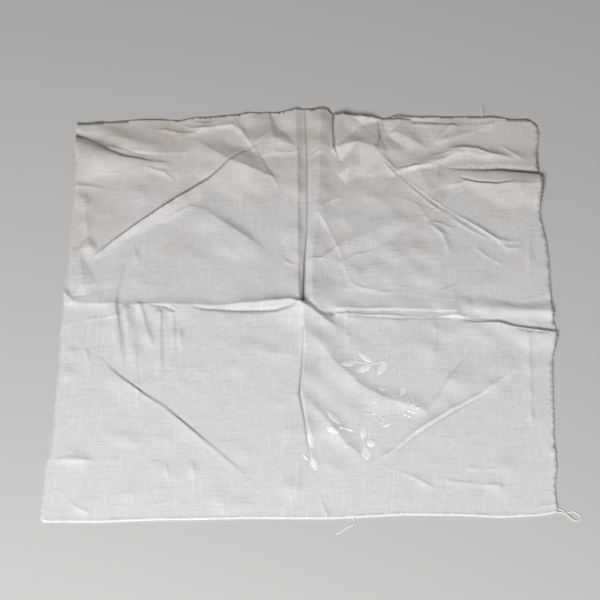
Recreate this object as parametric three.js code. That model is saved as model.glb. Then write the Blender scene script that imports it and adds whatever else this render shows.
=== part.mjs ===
// Linen handkerchief, opened out and laid down with the creases of its storage folds.
// It is one cut square of cloth, and its narrow hems are part of that cloth.
// Frame: millimetres, +Z up, origin on the table at the middle of the cloth's box.
// +X runs to the right and +Y away from the viewer.
import * as THREE from "three";

// Driving dimensions, in millimetres.
const CLOTH_SIDE = 300;
const CLOTH_THICKNESS = 1.6;
const FLAT_BELOW = 0.8;

// How finely the cloth is drawn, in millimetres.
const HEM_STEP = 5;
const FOLD_STEP = 6.5;
const PANEL_STEP = 11;
const LEAST_GAP = 2.2;
const PANEL_GAP = 6;
const HEM_GAP = 3;

// Rows of points beside a fold, as shares of the reach of its flank.
const FLANK_ROWS = [0.45, 1.1];
const LEAST_FLANK = 2.4;

// Folds that cross share their lift: a higher number follows the taller fold more closely.
const FOLD_BLEND = 2.4;
// A groove is pressed down over this share of the reach of its lips.
const PRESS_SHARE = 0.55;

const LINEN = { color: 0xdad9db, roughness: 0.9, metalness: 0 };

// Hems. Each row is one point: how far along the side it lies from the side's middle,
// and how far it stands out from the straight side of the square.
const FRONT_HEM = [
  [-150, 4.6], [-118, 4.6], [-94, 3.2], [-60, 2.3], [-30, 1.5], [15, 1.6], [39, 0],
  [57, -1.3], [91, -1.2], [115, 0.1], [138, -1.4], [148.4, -3.4],
];
const RIGHT_HEM = [
  [-146.6, -1.6], [-128, -2.1], [-114, -0.2], [-99, -1], [-68, 0], [-38, 0.8], [-21, 3.9],
  [-14, 4.2], [-8, 2.6], [14, 2.2], [37, 2.4], [53, 1.6], [69, -1.1], [81, -1.4],
  [93, 0], [103, 0.6], [110, -2.3], [125, -1.3], [139, 1], [146, 0],
];
const BACK_HEM = [
  [150, -4], [148, -1.3], [144, 1.8], [133, 1.4], [120, 3.4], [107, 3.6], [87, 3.2],
  [71, 2.4], [58, 3.8], [47, 1.2], [37, 5.6], [20, 7.2], [15, 9.4], [8, 9.6], [0, 9.6],
  [-10, 7.6], [-23, 6], [-36, 6], [-45, 4], [-58, 2.6], [-71, 2], [-81, -0.8],
  [-93, 0], [-103, 0.3], [-119, -1.4], [-132, -3.2], [-147, -4.4],
];
const LEFT_HEM = [
  [145.6, -3], [136, -2.8], [124, -2.9], [112, -4.5], [71, -4.4], [43, -4.1], [28, -4.3],
  [20, -2.9], [12, -1.8], [2, -2.6], [-18, -2], [-47, -2.4], [-69, -1.9], [-91, -1.9],
  [-105, -1.2], [-112, 0.9], [-126, 1.3], [-143, 1.9], [-152, 2.3], [-154.6, 0],
];

// Folds. A crest is a pressed ridge, a roll is a soft ridge, and a groove is a pressed
// valley between two lips. Each row of a line is a point's x and y from the crossing of
// the centre creases, and the lift there. The flanks reach left and right of the line
// as it is walked from its first row.
const FOLDS = [
  { name: "centre_crease_left", shape: "crest", left: 8, right: 7,
    line: [[-148, 3, 1.8], [-112, 2, 2.4], [-76, 1, 3], [-45, 0.5, 4], [-10, 4.5, 8], [-1, 2, 7.5]] },
  { name: "centre_crease_right", shape: "crest", left: 9, right: 7,
    line: [[-1, 2, 7.5], [16, -4.5, 3.6], [55, -5, 3.2], [89, -6, 3], [105, -8.5, 2.6], [130, -12, 3],
      [154, -15.5, 3.4]] },
  { name: "centre_crease_back", shape: "groove", left: 5, right: 7,
    line: [[0, 159.6, 3.6], [1, 125, 3], [1, 91, 3], [0, 50, 3.2], [-1, 12, 4]] },
  { name: "centre_crease_front", shape: "crest", left: 13, right: 3.5,
    line: [[5, -112, 1.4], [1.5, -97, 3], [0, -77, 4.2], [-2, -60, 4.6], [-1, -42, 4.4], [0, -28, 3.2],
      [-1, -8, 3.6]] },
  { name: "diagonal_back_left", shape: "crest", left: 3.5, right: 6.5,
    line: [[-130, 37, 1.2], [-110, 55, 3.2], [-91, 72, 4], [-66, 94, 4], [-33, 124, 2.2]] },
  { name: "diagonal_front_right", shape: "crest", left: 6, right: 3.2,
    line: [[40, -115, 1], [56, -101, 2.8], [75, -84, 3.2], [100, -66, 3], [127, -48, 1.2]] },
  { name: "diagonal_front_left", shape: "groove", left: 3.6, right: 3.2,
    line: [[-126, -35, 0.8], [-107, -52, 1.8], [-83, -72, 2], [-60, -94, 1.9], [-32, -121, 0.8]] },
  { name: "diagonal_back_right", shape: "groove", left: 3.4, right: 3.4,
    line: [[27, 142, 0.8], [46, 123, 2], [59, 107, 2.2], [85, 79, 2.2], [110, 61, 2], [131, 46, 0.8]] },
  { name: "puff_back_left", shape: "roll", left: 7, right: 17,
    line: [[-144, 119, 7], [-128, 114, 7.4], [-112, 108, 6], [-92, 106, 2.6]] },
  { name: "corner_back_left", shape: "roll", left: 7, right: 8,
    line: [[-140, 139, 2.2], [-115, 133, 3], [-96, 124, 2.4], [-78, 122, 1]] },
  { name: "roll_back_right", shape: "roll", left: 5.5, right: 18,
    line: [[84, 100, 2], [104, 97, 5], [128, 97, 6.4], [147, 99, 6.6]] },
  { name: "roll_behind_slit", shape: "roll", left: 9, right: 6,
    line: [[28, 93, 1.4], [58, 105, 3.4], [76, 112, 4], [92, 117, 4.4], [112, 121, 4.2], [134, 117, 3]] },
  { name: "slit_back_right", shape: "groove", left: 4, right: 4,
    line: [[84, 110, 0.4], [104, 107, 1], [128, 107, 1.2], [148, 108.5, 1.2]] },
  { name: "short_groove_back", shape: "groove", left: 7, right: 8,
    line: [[17, 159, 4.6], [17, 140, 3.6], [18, 126, 3], [24, 114, 1.4]] },
  { name: "peak_back_right", shape: "roll", left: 8, right: 10,
    line: [[30, 154, 3.6], [44, 146, 3.8], [52, 134, 2.8]] },
  { name: "facet_back_left", shape: "roll", left: 14, right: 7,
    line: [[-66, 123, 2], [-46, 113, 3.4], [-24, 103, 2.4]] },
  { name: "facet_beside_centre", shape: "roll", left: 9, right: 9,
    line: [[-24, 154, 3.4], [-14, 138, 2.8], [-8, 124, 2]] },
  { name: "band_front_upper", shape: "roll", left: 6, right: 16,
    line: [[4, -12, 4.6], [14, -33, 4.4], [27, -48, 4.4], [46, -61, 4], [62, -69, 2.4]] },
  { name: "band_front_lower", shape: "roll", left: 5, right: 13,
    line: [[6, -70, 2.4], [16, -87, 3.8], [26, -101, 3.6], [41, -109, 2]] },
  { name: "star_left_arm", shape: "crest", left: 5, right: 5,
    line: [[24, 39, 1], [48, 52, 1.8], [77, 69, 2.6]] },
  { name: "star_back_arm", shape: "crest", left: 5, right: 5,
    line: [[46, 84, 0.8], [61, 79, 1.6], [77, 69, 2.6]] },
  { name: "bend_beside_centre", shape: "roll", left: 7, right: 9,
    line: [[24, 114, 1.6], [10, 86, 2.6], [18, 60, 2.4], [30, 24, 2]] },
  { name: "side_step_left", shape: "roll", left: 7, right: 7,
    line: [[-134, 92, 2.6], [-134, 60, 1.8], [-131, 22, 2]] },
  { name: "soft_band_left", shape: "roll", left: 9, right: 9,
    line: [[-77, 82, 1.4], [-48, 62, 2.2], [-22, 42, 1.6]] },
  { name: "soft_fold_front_left", shape: "roll", left: 8, right: 10,
    line: [[-78, -3, 2.2], [-76, -30, 2.4], [-82, -66, 1]] },
  { name: "soft_fold_front", shape: "roll", left: 10, right: 12,
    line: [[-52, -64, 1.2], [-24, -52, 2.4], [-8, -38, 2.2]] },
  { name: "facet_front_right", shape: "roll", left: 8, right: 12,
    line: [[76, -72, 1.6], [88, -48, 2.2], [103, -28, 1.8]] },
];

// The nearest place on a fold: how far off it is, on which side, and the fold's lift there.
function nearestOnFold(fold, x, y) {
  const nearest = { distance: Infinity, side: 0, lift: 0 };
  for (let i = 1; i < fold.line.length; i += 1) {
    const [ax, ay, aLift] = fold.line[i - 1];
    const [bx, by, bLift] = fold.line[i];
    const span = Math.hypot(bx - ax, by - ay);
    const dx = (bx - ax) / span;
    const dy = (by - ay) / span;
    const along = THREE.MathUtils.clamp((x - ax) * dx + (y - ay) * dy, 0, span);
    const distance = Math.hypot(x - ax - dx * along, y - ay - dy * along);
    if (distance < nearest.distance) {
      const across = dx * (y - ay) - dy * (x - ax);
      nearest.distance = distance;
      nearest.side = distance > 0 ? across / distance : 0;
      nearest.lift = THREE.MathUtils.lerp(aLift, bLift, along / span);
    }
  }
  return nearest;
}

// The lift of the cloth's underside over the table, nothing where it lies flat.
function liftAt(x, y) {
  let raised = 0;
  let pressed = 1;
  for (const fold of FOLDS) {
    const { distance, side, lift } = nearestOnFold(fold, x, y);
    const reach = ((1 + side) * fold.left + (1 - side) * fold.right) / 2;
    const ratio = distance / reach;
    if (fold.shape === "crest") {
      raised += (lift * Math.exp(-ratio)) ** FOLD_BLEND;
    } else if (fold.shape === "roll") {
      raised += (lift * Math.exp(-ratio * ratio)) ** FOLD_BLEND;
    } else {
      raised += (lift * ratio * Math.exp(1 - ratio)) ** FOLD_BLEND;
      pressed *= 1 - Math.exp(-ratio / PRESS_SHARE) * Math.min(1, lift);
    }
  }
  return Math.max(0, raised ** (1 / FOLD_BLEND) * pressed - FLAT_BELOW);
}

// One hem as evenly spaced points on a smooth curve through its rows, without its last.
function hemPoints(rows, place) {
  const curve = new THREE.SplineCurve(rows.map(([along, out]) => place(along, out)));
  const pieces = Math.round(curve.getLength() / HEM_STEP);
  return curve.getSpacedPoints(pieces).slice(0, -1);
}

// The cloth's outline, anticlockwise from its front left corner.
function outlinePoints() {
  const half = CLOTH_SIDE / 2;
  return [
    ...hemPoints(FRONT_HEM, (along, out) => new THREE.Vector2(along, -half - out)),
    ...hemPoints(RIGHT_HEM, (along, out) => new THREE.Vector2(half + out, along)),
    ...hemPoints(BACK_HEM, (along, out) => new THREE.Vector2(along, half + out)),
    ...hemPoints(LEFT_HEM, (along, out) => new THREE.Vector2(-half - out, along)),
  ];
}

// Where a fold runs out at a hem, the nearest point of the outline moves onto it.
function bringHemToFolds(outline) {
  for (const fold of FOLDS) {
    for (const [x, y] of [fold.line[0], fold.line.at(-1)]) {
      const end = new THREE.Vector2(x, y);
      const distances = outline.map((point) => point.distanceTo(end));
      const least = Math.min(...distances);
      if (least < HEM_GAP) {
        outline[distances.indexOf(least)].copy(end);
      }
    }
  }
}

function isInside(outline, x, y) {
  let inside = false;
  outline.forEach((a, i) => {
    const b = outline[(i + 1) % outline.length];
    if (a.y > y !== b.y > y && x < a.x + ((y - a.y) / (b.y - a.y)) * (b.x - a.x)) {
      inside = !inside;
    }
  });
  return inside;
}

// The points of the cloth: its outline, rows along every fold, and a loose fill between.
function clothPoints(outline) {
  const points = [...outline];
  const addIfClear = (x, y, gap) => {
    const nearHem = outline.some((point) => Math.hypot(point.x - x, point.y - y) < HEM_GAP);
    const crowded = points.some((point) => Math.hypot(point.x - x, point.y - y) < gap);
    if (!nearHem && !crowded && isInside(outline, x, y)) {
      points.push(new THREE.Vector2(x, y));
    }
  };
  const stationsOf = (fold) => {
    const curve = new THREE.CurvePath();
    for (let i = 1; i < fold.line.length; i += 1) {
      const from = new THREE.Vector2(...fold.line[i - 1]);
      const to = new THREE.Vector2(...fold.line[i]);
      curve.add(new THREE.LineCurve(from, to));
    }
    const pieces = Math.ceil(curve.getLength() / FOLD_STEP);
    return Array.from({ length: pieces + 1 }, (_, i) => ({
      at: curve.getPointAt(i / pieces),
      ahead: curve.getTangentAt(i / pieces),
    }));
  };
  const routes = FOLDS.map((fold) => ({ fold, stations: stationsOf(fold) }));
  for (const { stations } of routes) {
    stations.forEach(({ at }) => addIfClear(at.x, at.y, LEAST_GAP));
  }
  for (const share of FLANK_ROWS) {
    for (const { fold, stations } of routes) {
      const onLeft = Math.max(LEAST_FLANK, fold.left * share);
      const onRight = Math.max(LEAST_FLANK, fold.right * share);
      for (const { at, ahead } of stations) {
        addIfClear(at.x - ahead.y * onLeft, at.y + ahead.x * onLeft, LEAST_GAP);
        addIfClear(at.x + ahead.y * onRight, at.y - ahead.x * onRight, LEAST_GAP);
      }
    }
  }
  const rowStep = (PANEL_STEP * Math.sqrt(3)) / 2;
  const rows = Math.ceil(CLOTH_SIDE / rowStep) + 2;
  for (let row = -rows; row <= rows; row += 1) {
    for (let column = -rows; column <= rows; column += 1) {
      const shift = row % 2 === 0 ? 0 : PANEL_STEP / 2;
      addIfClear(column * PANEL_STEP + shift, row * rowStep, PANEL_GAP);
    }
  }
  return points;
}

// A triangle of three point numbers with the circle through its corners.
function circledTriangle(points, a, b, c) {
  const [p, q, r] = [points[a], points[b], points[c]];
  const double = 2 * ((q.x - p.x) * (r.y - p.y) - (q.y - p.y) * (r.x - p.x));
  const qSquare = (q.x - p.x) ** 2 + (q.y - p.y) ** 2;
  const rSquare = (r.x - p.x) ** 2 + (r.y - p.y) ** 2;
  const x = ((r.y - p.y) * qSquare - (q.y - p.y) * rSquare) / double;
  const y = ((q.x - p.x) * rSquare - (r.x - p.x) * qSquare) / double;
  return { corners: [a, b, c], x: p.x + x, y: p.y + y, square: x * x + y * y };
}

// Joins points into the Delaunay triangles, each anticlockwise.
function triangulate(points) {
  const far = CLOTH_SIDE * 20;
  // A hair of unevenness keeps four points off one circle.
  const uneven = (i) => 1e-4 * Math.sin(i * 12.9898);
  const nudged = points.map((point, i) => ({ x: point.x + uneven(i), y: point.y + uneven(i + 0.5) }));
  const count = nudged.length;
  nudged.push({ x: -far, y: -far }, { x: far, y: -far }, { x: 0, y: far });
  let triangles = [circledTriangle(nudged, count, count + 1, count + 2)];
  for (let i = 0; i < count; i += 1) {
    const { x, y } = nudged[i];
    const rim = new Map();
    const kept = [];
    for (const triangle of triangles) {
      if ((triangle.x - x) ** 2 + (triangle.y - y) ** 2 >= triangle.square) {
        kept.push(triangle);
        continue;
      }
      const [a, b, c] = triangle.corners;
      for (const [from, to] of [[a, b], [b, c], [c, a]]) {
        if (!rim.delete(`${to} ${from}`)) {
          rim.set(`${from} ${to}`, [from, to]);
        }
      }
    }
    for (const [from, to] of rim.values()) {
      kept.push(circledTriangle(nudged, from, to, i));
    }
    triangles = kept;
  }
  return triangles.map(({ corners }) => corners).filter((corners) => Math.max(...corners) < count);
}

// The closed sheet: an upper face, a lower face and the narrow wall of the hem round them.
function clothGeometry() {
  const outline = outlinePoints();
  bringHemToFolds(outline);
  const points = clothPoints(outline);
  const triangles = triangulate(points).filter(([a, b, c]) => {
    const x = (points[a].x + points[b].x + points[c].x) / 3;
    const y = (points[a].y + points[b].y + points[c].y) / 3;
    return isInside(outline, x, y);
  });
  const box = new THREE.Box2().setFromPoints(outline);
  const middle = box.getCenter(new THREE.Vector2());
  const lower = points.map(({ x, y }) => [x - middle.x, y - middle.y, liftAt(x, y)]);
  const upper = lower.map(([x, y, z]) => [x, y, z + CLOTH_THICKNESS]);
  const count = points.length;
  const indices = [];
  for (const [a, b, c] of triangles) {
    indices.push(a + count, b + count, c + count);
    indices.push(a, c, b);
  }
  outline.forEach((_, a) => {
    const b = (a + 1) % outline.length;
    indices.push(a, b, b + count);
    indices.push(a, b + count, a + count);
  });
  const geometry = new THREE.BufferGeometry();
  geometry.setAttribute("position", new THREE.Float32BufferAttribute([...lower, ...upper].flat(), 3));
  geometry.setIndex(indices);
  geometry.computeVertexNormals();
  return geometry;
}

const cloth = new THREE.Mesh(clothGeometry(), new THREE.MeshStandardMaterial(LINEN));
cloth.name = "handkerchief";

const group = new THREE.Group();
group.add(cloth);

export default group;
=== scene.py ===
"""Linen handkerchief, opened out and laid down with its storage creases: its looks."""

import math
import random
from collections import namedtuple

import bpy
import numpy as np
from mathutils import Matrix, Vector
from mathutils.geometry import delaunay_2d_cdt


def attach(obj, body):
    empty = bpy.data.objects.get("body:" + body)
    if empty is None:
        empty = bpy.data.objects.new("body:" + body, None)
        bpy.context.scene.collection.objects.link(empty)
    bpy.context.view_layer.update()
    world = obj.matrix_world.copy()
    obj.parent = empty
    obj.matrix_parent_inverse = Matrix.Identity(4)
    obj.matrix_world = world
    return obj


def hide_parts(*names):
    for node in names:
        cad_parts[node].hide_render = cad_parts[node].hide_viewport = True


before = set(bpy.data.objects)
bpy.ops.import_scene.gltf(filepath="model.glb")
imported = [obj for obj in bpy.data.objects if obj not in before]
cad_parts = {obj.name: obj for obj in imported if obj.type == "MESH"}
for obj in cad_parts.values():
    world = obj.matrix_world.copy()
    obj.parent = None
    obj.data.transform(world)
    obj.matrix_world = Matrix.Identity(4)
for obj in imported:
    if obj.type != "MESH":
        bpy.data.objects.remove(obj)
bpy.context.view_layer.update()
bpy.ops.object.select_all(action="DESELECT")

# Camera. A long lens looks down on the cloth over its front hem, from a little right of its
# middle. The crossing of the centre creases is the place that all the cloth's sizes start from.
MM = 0.001
CROSSING_X = -1.0
CROSSING_Y = -2.6
CAMERA_X = 2.8
CAMERA_Y = -987.0
CAMERA_Z = 1357.2
CAMERA_PITCH = 36.2
CAMERA_TURN = 0.3
LENS_LENGTH = 164.0
SENSOR_WIDTH = 36.0
NEAREST_SEEN = 0.05


def from_crossing(x, y, z):
    """A place given in millimetres from the crossing of the creases, in the frame's metres."""
    return Vector(((x + CROSSING_X) * MM, (y + CROSSING_Y) * MM, z * MM))


bpy.ops.object.camera_add(
    location=from_crossing(CAMERA_X, CAMERA_Y, CAMERA_Z),
    rotation=(math.radians(CAMERA_PITCH), 0, math.radians(CAMERA_TURN)),
)
camera = bpy.context.object
camera.data.sensor_width = SENSOR_WIDTH
camera.data.lens = LENS_LENGTH
camera.data.clip_start = NEAREST_SEEN
bpy.context.scene.camera = camera

# Cloth. One cut square of plain-woven white linen, washed often and stored folded in four and
# then once more across, so its creases stand up as a cross with a diamond round it. It lies
# loose on the floor, and only its front part and the hollows between the folds touch it.
CLOTH_SIDE = 300.0
CLOTH_THICKNESS = 0.35
FOLD_BLEND = 2.4
TENT_ROUNDING = 0.08
FLAT_BELOW = 0.3
FLOOR_SOFTNESS = 0.2

# Slack in the cloth between its folds: long shallow waves, and short ones along both yarns.
SLACK_SEED = 7
SLACK_WAVES = 26
SLACK_LENGTHS = (13, 48)
SLACK_LIFT = 0.085
YARN_WAVES = 22
YARN_WAVE_LENGTHS = (2.6, 7)
YARN_WAVE_LIFT = 0.012
YARN_DRIFTS = (18, 60)

# The front hem is rolled and whipped, and stands up as a narrow bead. The other hems are
# turned flat, and their cut edges have frayed through.
ROLL_WIDTH = 0.7
ROLL_RISE = 0.32
TURNED_WIDTH = 2.6
TURNED_RISE = 0.16
TURNED_EDGE = 0.25

# How finely the cloth is drawn, in millimetres: open cloth, beside a fold, and on a fold.
OPEN_STEP = 3.0
NEAR_STEP = 1.5
FOLD_STEP = 0.85
NEAR_FOLD = 3.4
ON_FOLD = 1.25
HEM_STEP = 1.5

# The rows of points lie this share of a step apart, over the square and this far round it.
# Points nearer to the hem than this share of a hem step are left out. Hem points less than
# this far behind the square's front side belong to the front roll, which is drawn finely.
ROW_SHARE = 0.87
HEM_REACH = 12.0
HEM_CLEARANCE = 0.6
FRONT_BAND = 5.0

# A fold is worked out up to this many reaches of its widest flank, where it has all but ended.
MAIN_REACHES = 5
SMALL_REACHES = 6
SLIT_REACHES = 8

# A gap this deep gets full painted shade, and that painted shade is worked out this far round it.
PAINTED_SHADE_FULL_DEPTH = 2.4
PAINTED_SHADE_MARGIN = 8.0

# Guards for the geometry: further than any fold, too near to divide by, and one and the same.
FAR_AWAY = 1e9
LEAST_DISTANCE = 1e-6
SAME_PLACE = 1e-4

# Hems. Each row is one point: how far along the side it lies from the side's middle,
# and how far it stands out from the straight side of the square.
FRONT_HEM = [
    (-150, 4.6), (-118, 4.6), (-94, 3.2), (-60, 2.3), (-30, 1.5), (15, 1.6), (39, 0),
    (57, -1.3), (91, -1.2), (115, 0.1), (138, -1.4), (148.4, -3.4),
]
RIGHT_HEM = [
    (-146.6, -1.6), (-128, -2.1), (-114, -0.2), (-99, -1), (-68, 0), (-38, 0.8), (-21, 3.9),
    (-14, 4.2), (-8, 2.6), (14, 2.2), (37, 2.4), (53, 1.6), (69, -1.1), (81, -1.4),
    (93, 0), (103, 0.6), (110, -2.3), (125, -1.3), (139, 1), (146, 0),
]
BACK_HEM = [
    (150, -4), (148, -1.3), (144, 1.8), (133, 1.4), (120, 3.4), (107, 3.6), (87, 3.2),
    (71, 2.4), (58, 2.6), (47, 1.2), (37, 2), (20, 3.4), (15, 8.6), (8, 9.6), (0, 9.6),
    (-10, 7.6), (-23, 6), (-36, 6), (-45, 4), (-58, 2.6), (-71, 2), (-81, -0.8),
    (-93, 0), (-103, 0.3), (-119, -1.4), (-132, -3.2), (-147, -4.4),
]
LEFT_HEM = [
    (145.6, -3), (136, -2.8), (124, -2.9), (112, -4.5), (71, -4.4), (43, -4.1), (28, -4.3),
    (20, -2.9), (12, -1.8), (2, -2.6), (-18, -2), (-47, -2.4), (-69, -1.9), (-91, -1.9),
    (-105, -1.2), (-112, 0.9), (-126, 1.3), (-143, 1.9), (-152, 2.3), (-154.6, 0),
]

# Folds. A crest is a pressed ridge, a roll is a soft ridge, and a tent is a flat-sided one.
# Each point is x, y, lift, reach of the left flank and reach of the right flank, with left
# and right as the fold is walked from its first point.
Fold = namedtuple("Fold", "name shape points")
MAIN_FOLDS = [
    Fold("centre crease, left", "crest", [
        (-148.5, 2.5, 1, 6, 3), (-114, 2, 1.2, 6, 3.6), (-76, 1.5, 1.4, 6, 4.4),
        (-45, 1.5, 1.8, 6, 5.4),
        (-26, 3.5, 2.6, 6, 6.6), (-8.5, 4.5, 4.2, 5.4, 8), (-2.5, 1.5, 4.8, 4, 9)]),
    Fold("rim of the pit", "crest", [
        (-2.5, 1.5, 4.8, 4, 9), (4.5, -2.5, 3.2, 3.2, 12), (13, -9, 2.3, 3.4, 12),
        (18, -13, 1.6, 4, 10)]),
    Fold("centre crease, right, back lip", "crest", [
        (20.5, -0.5, 1.8, 8, 2.2), (46.5, -1, 1.4, 8, 2.2), (74, -1, 1.2, 8, 2.2),
        (92.5, -2, 0.9, 6, 2.2)]),
    Fold("centre crease, right, front lip", "crest", [
        (20.5, -4.5, 1.6, 1.8, 4.4), (46.5, -5.5, 1.2, 1.8, 4.4), (74, -6.5, 1, 1.8, 4.4),
        (92.5, -6.5, 0.9, 2.4, 4.4)]),
    Fold("lap at the right end of the crease", "crest", [
        (101.5, -10.5, 1.5, 1.2, 7), (119.5, -11, 2.2, 1, 8), (129.5, -14, 2.4, 1, 9),
        (138, -16.5, 2.4, 1, 10), (154.5, -18.5, 2.4, 1.2, 12)]),
    Fold("roll behind the lap", "roll", [
        (102, 1.5, 1.2, 6, 6), (120, -0.5, 1.8, 7, 6), (138.5, -2, 2.1, 7, 3.8),
        (154.5, -3.5, 2.1, 7, 3.8)]),
    Fold("centre crease, front", "crest", [
        (6, -112.5, 0.7, 1.6, 6), (3, -98.5, 1.4, 1.6, 8), (2, -83, 2, 1.6, 10),
        (-1.5, -62.5, 2.4, 1.6, 12), (-0.5, -45.5, 2.2, 1.6, 12), (1.5, -30.5, 2, 2, 12),
        (0, -15.5, 2.6, 3, 12), (-0.5, -1.5, 4.4, 6, 10)]),
    Fold("centre crease, back, left lip", "tent", [
        (-3.5, 9, 3.6, 14, 4.2), (-4, 46, 2.2, 12, 4.2), (-4.5, 86, 2, 12, 4.4),
        (-5, 122.5, 2, 12, 4.6),
        (-6, 158, 2, 12, 4.8)]),
    Fold("centre crease, back, right lip", "tent", [
        (5, 6.5, 3.2, 4.4, 14), (5, 43, 2, 4.4, 10), (8.5, 70, 2, 7, 10), (9.5, 114, 2.4, 7.4, 8),
        (10.5, 157.5, 2.6, 7.6, 9)]),
    Fold("diagonal, back left", "tent", [
        (-129, 40.5, 0.7, 1.4, 4), (-115, 54, 2.2, 1.5, 5), (-99.5, 68, 3.6, 1.5, 8),
        (-86, 79, 4.2, 1.5, 10.5), (-73.5, 89.5, 3.3, 1.5, 10), (-59, 102, 1.8, 1.5, 5),
        (-46, 115.5, 1.2, 1.6, 3), (-33, 125.5, 0.6, 2, 3)]),
    Fold("diagonal, front right", "crest", [
        (43, -112, 0.5, 3, 1.4), (54.5, -103, 1.1, 4, 1.1), (66.5, -91.5, 1.5, 4, 1),
        (75.5, -84.5, 1.8, 4, 1.1),
        (90.5, -73.5, 1.5, 3.4, 1.2), (106, -64, 1.4, 3.4, 1.2), (127.5, -46, 0.5, 4, 2)]),
    Fold("diagonal, front left", "crest", [
        (-125, -38.5, 0.6, 1.2, 3), (-111, -52, 1, 1.2, 4), (-95.5, -65, 1.2, 1.2, 4),
        (-83, -74.5, 1.2, 1.2, 4), (-59, -97.5, 1, 1.2, 4), (-33.5, -122.5, 0.5, 1.2, 3)]),
    Fold("puff, back left", "roll", [
        (-146, 126.5, 4.4, 9, 17), (-134, 121, 4.2, 9, 15), (-118, 116.5, 3.2, 4.6, 12),
        (-102, 114.5, 2.2, 3, 9), (-90.5, 113.5, 1, 2, 5)]),
    Fold("corner, back left", "roll", [
        (-146.5, 141, 1.6, 8, 4), (-132, 139.5, 1.6, 8, 6), (-115.5, 134, 1.4, 8, 5),
        (-99, 127, 1, 6, 4)]),
    Fold("bulge, back right", "tent", [
        (90, 100, 0.6, 10, 8), (108, 98.5, 2.4, 20, 12), (127, 96.5, 3.9, 26, 16),
        (151.5, 95.5, 4.8, 28, 20)]),
    Fold("roll, back right", "roll", [
        (57.5, 106.5, 1.2, 7, 2), (73.5, 113, 1.8, 7, 2), (86.5, 116.5, 2, 7, 2), (96, 122, 2, 7, 2.4),
        (103, 124, 1.8, 6, 3), (116.5, 121, 1.4, 6, 3), (132.5, 118, 1.1, 7, 3),
        (149, 116, 0.8, 8, 3)]),
    Fold("upper band, front right", "tent", [
        (8.5, -24.5, 1.8, 11, 15), (19, -41, 1.9, 9, 14), (34, -57, 1.9, 8, 13),
        (47.5, -66, 1.7, 8, 12),
        (60.5, -71.5, 1.2, 7, 10), (72.5, -75.5, 0.7, 6, 8)]),
    Fold("lower band, front right", "tent", [
        (1.5, -66.5, 0.9, 6, 9), (10, -77.5, 1.5, 8, 10), (18, -89, 1.8, 8, 10),
        (26, -100.5, 1.6, 7, 9),
        (33, -106, 1, 6, 8), (40, -110.5, 0.4, 4, 6)]),
    Fold("facet, back left", "tent", [
        (-72, 135, 0.3, 5, 14), (-59.5, 123.5, 3, 15, 24), (-47, 113.5, 4.4, 17, 26),
        (-33.5, 107, 5, 14, 24), (-20.5, 102.5, 1.8, 5, 14)]),
    Fold("long step, back left", "tent", [
        (-66, 78.5, 0.7, 9, 12), (-58, 71, 2.4, 10, 18), (-48, 63.5, 2.3, 8, 22),
        (-37, 54.5, 1.8, 6, 22),
        (-26.5, 47, 0.6, 4, 16)]),
    Fold("short fold at the left, first", "roll", [
        (-110.5, -41.5, 0.4, 4, 3), (-112.5, -18.5, 1.2, 5, 1.6), (-116, 1.5, 1.6, 6, 1.6),
        (-115.5, 15.5, 1.2, 5, 1.6),
        (-111, 37.5, 0.5, 4, 2)]),
    Fold("short fold at the left, second", "roll", [
        (-103.5, -43.5, 0.6, 5, 5), (-107, -22, 1.6, 4, 5), (-109.5, -2, 2.2, 3, 5)]),
    Fold("short fold at the left, third", "roll", [
        (-92, -29, 0.7, 4, 2.4), (-97, -12, 1.5, 4, 1.4), (-100.5, 1, 1.9, 4, 1.6)]),
    Fold("short fold at the left, fourth", "roll", [
        (-86.5, -54.5, 0.6, 4, 2.4), (-87, -29.5, 1.3, 3, 1.6), (-88, -4.5, 1.6, 3, 1.6)]),
    Fold("short fold at the left, fifth", "roll", [
        (-79.5, -43.5, 0.6, 3, 2.4), (-79.5, -18, 1.2, 3, 1.6), (-80.5, -1.5, 1.5, 3, 1.6)]),
    Fold("soft shade before the pit", "roll", [
        (-53.5, -34, 0.3, 10, 14), (-32.5, -33, 0.6, 10, 12), (-15.5, -35, 0.8, 8, 8),
        (-4, -37, 0.8, 6, 8)]),
    Fold("facet, front right", "tent", [
        (76.5, -72.5, 0.8, 2, 8), (85.5, -58, 1.6, 2.4, 14), (95.5, -41, 1.5, 2.2, 14),
        (104.5, -28, 0.8, 2, 10)]),
    Fold("upright fold, front right", "roll", [
        (78, -68, 0.3, 3, 2.4), (78, -39.5, 0.6, 5, 1.8), (80.5, -13.5, 1, 6, 2)]),
    Fold("bend at the left hem", "roll", [
        (-150.5, 11, 0.6, 5, 5), (-140.5, 4, 1.4, 8, 4)]),
]
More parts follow.
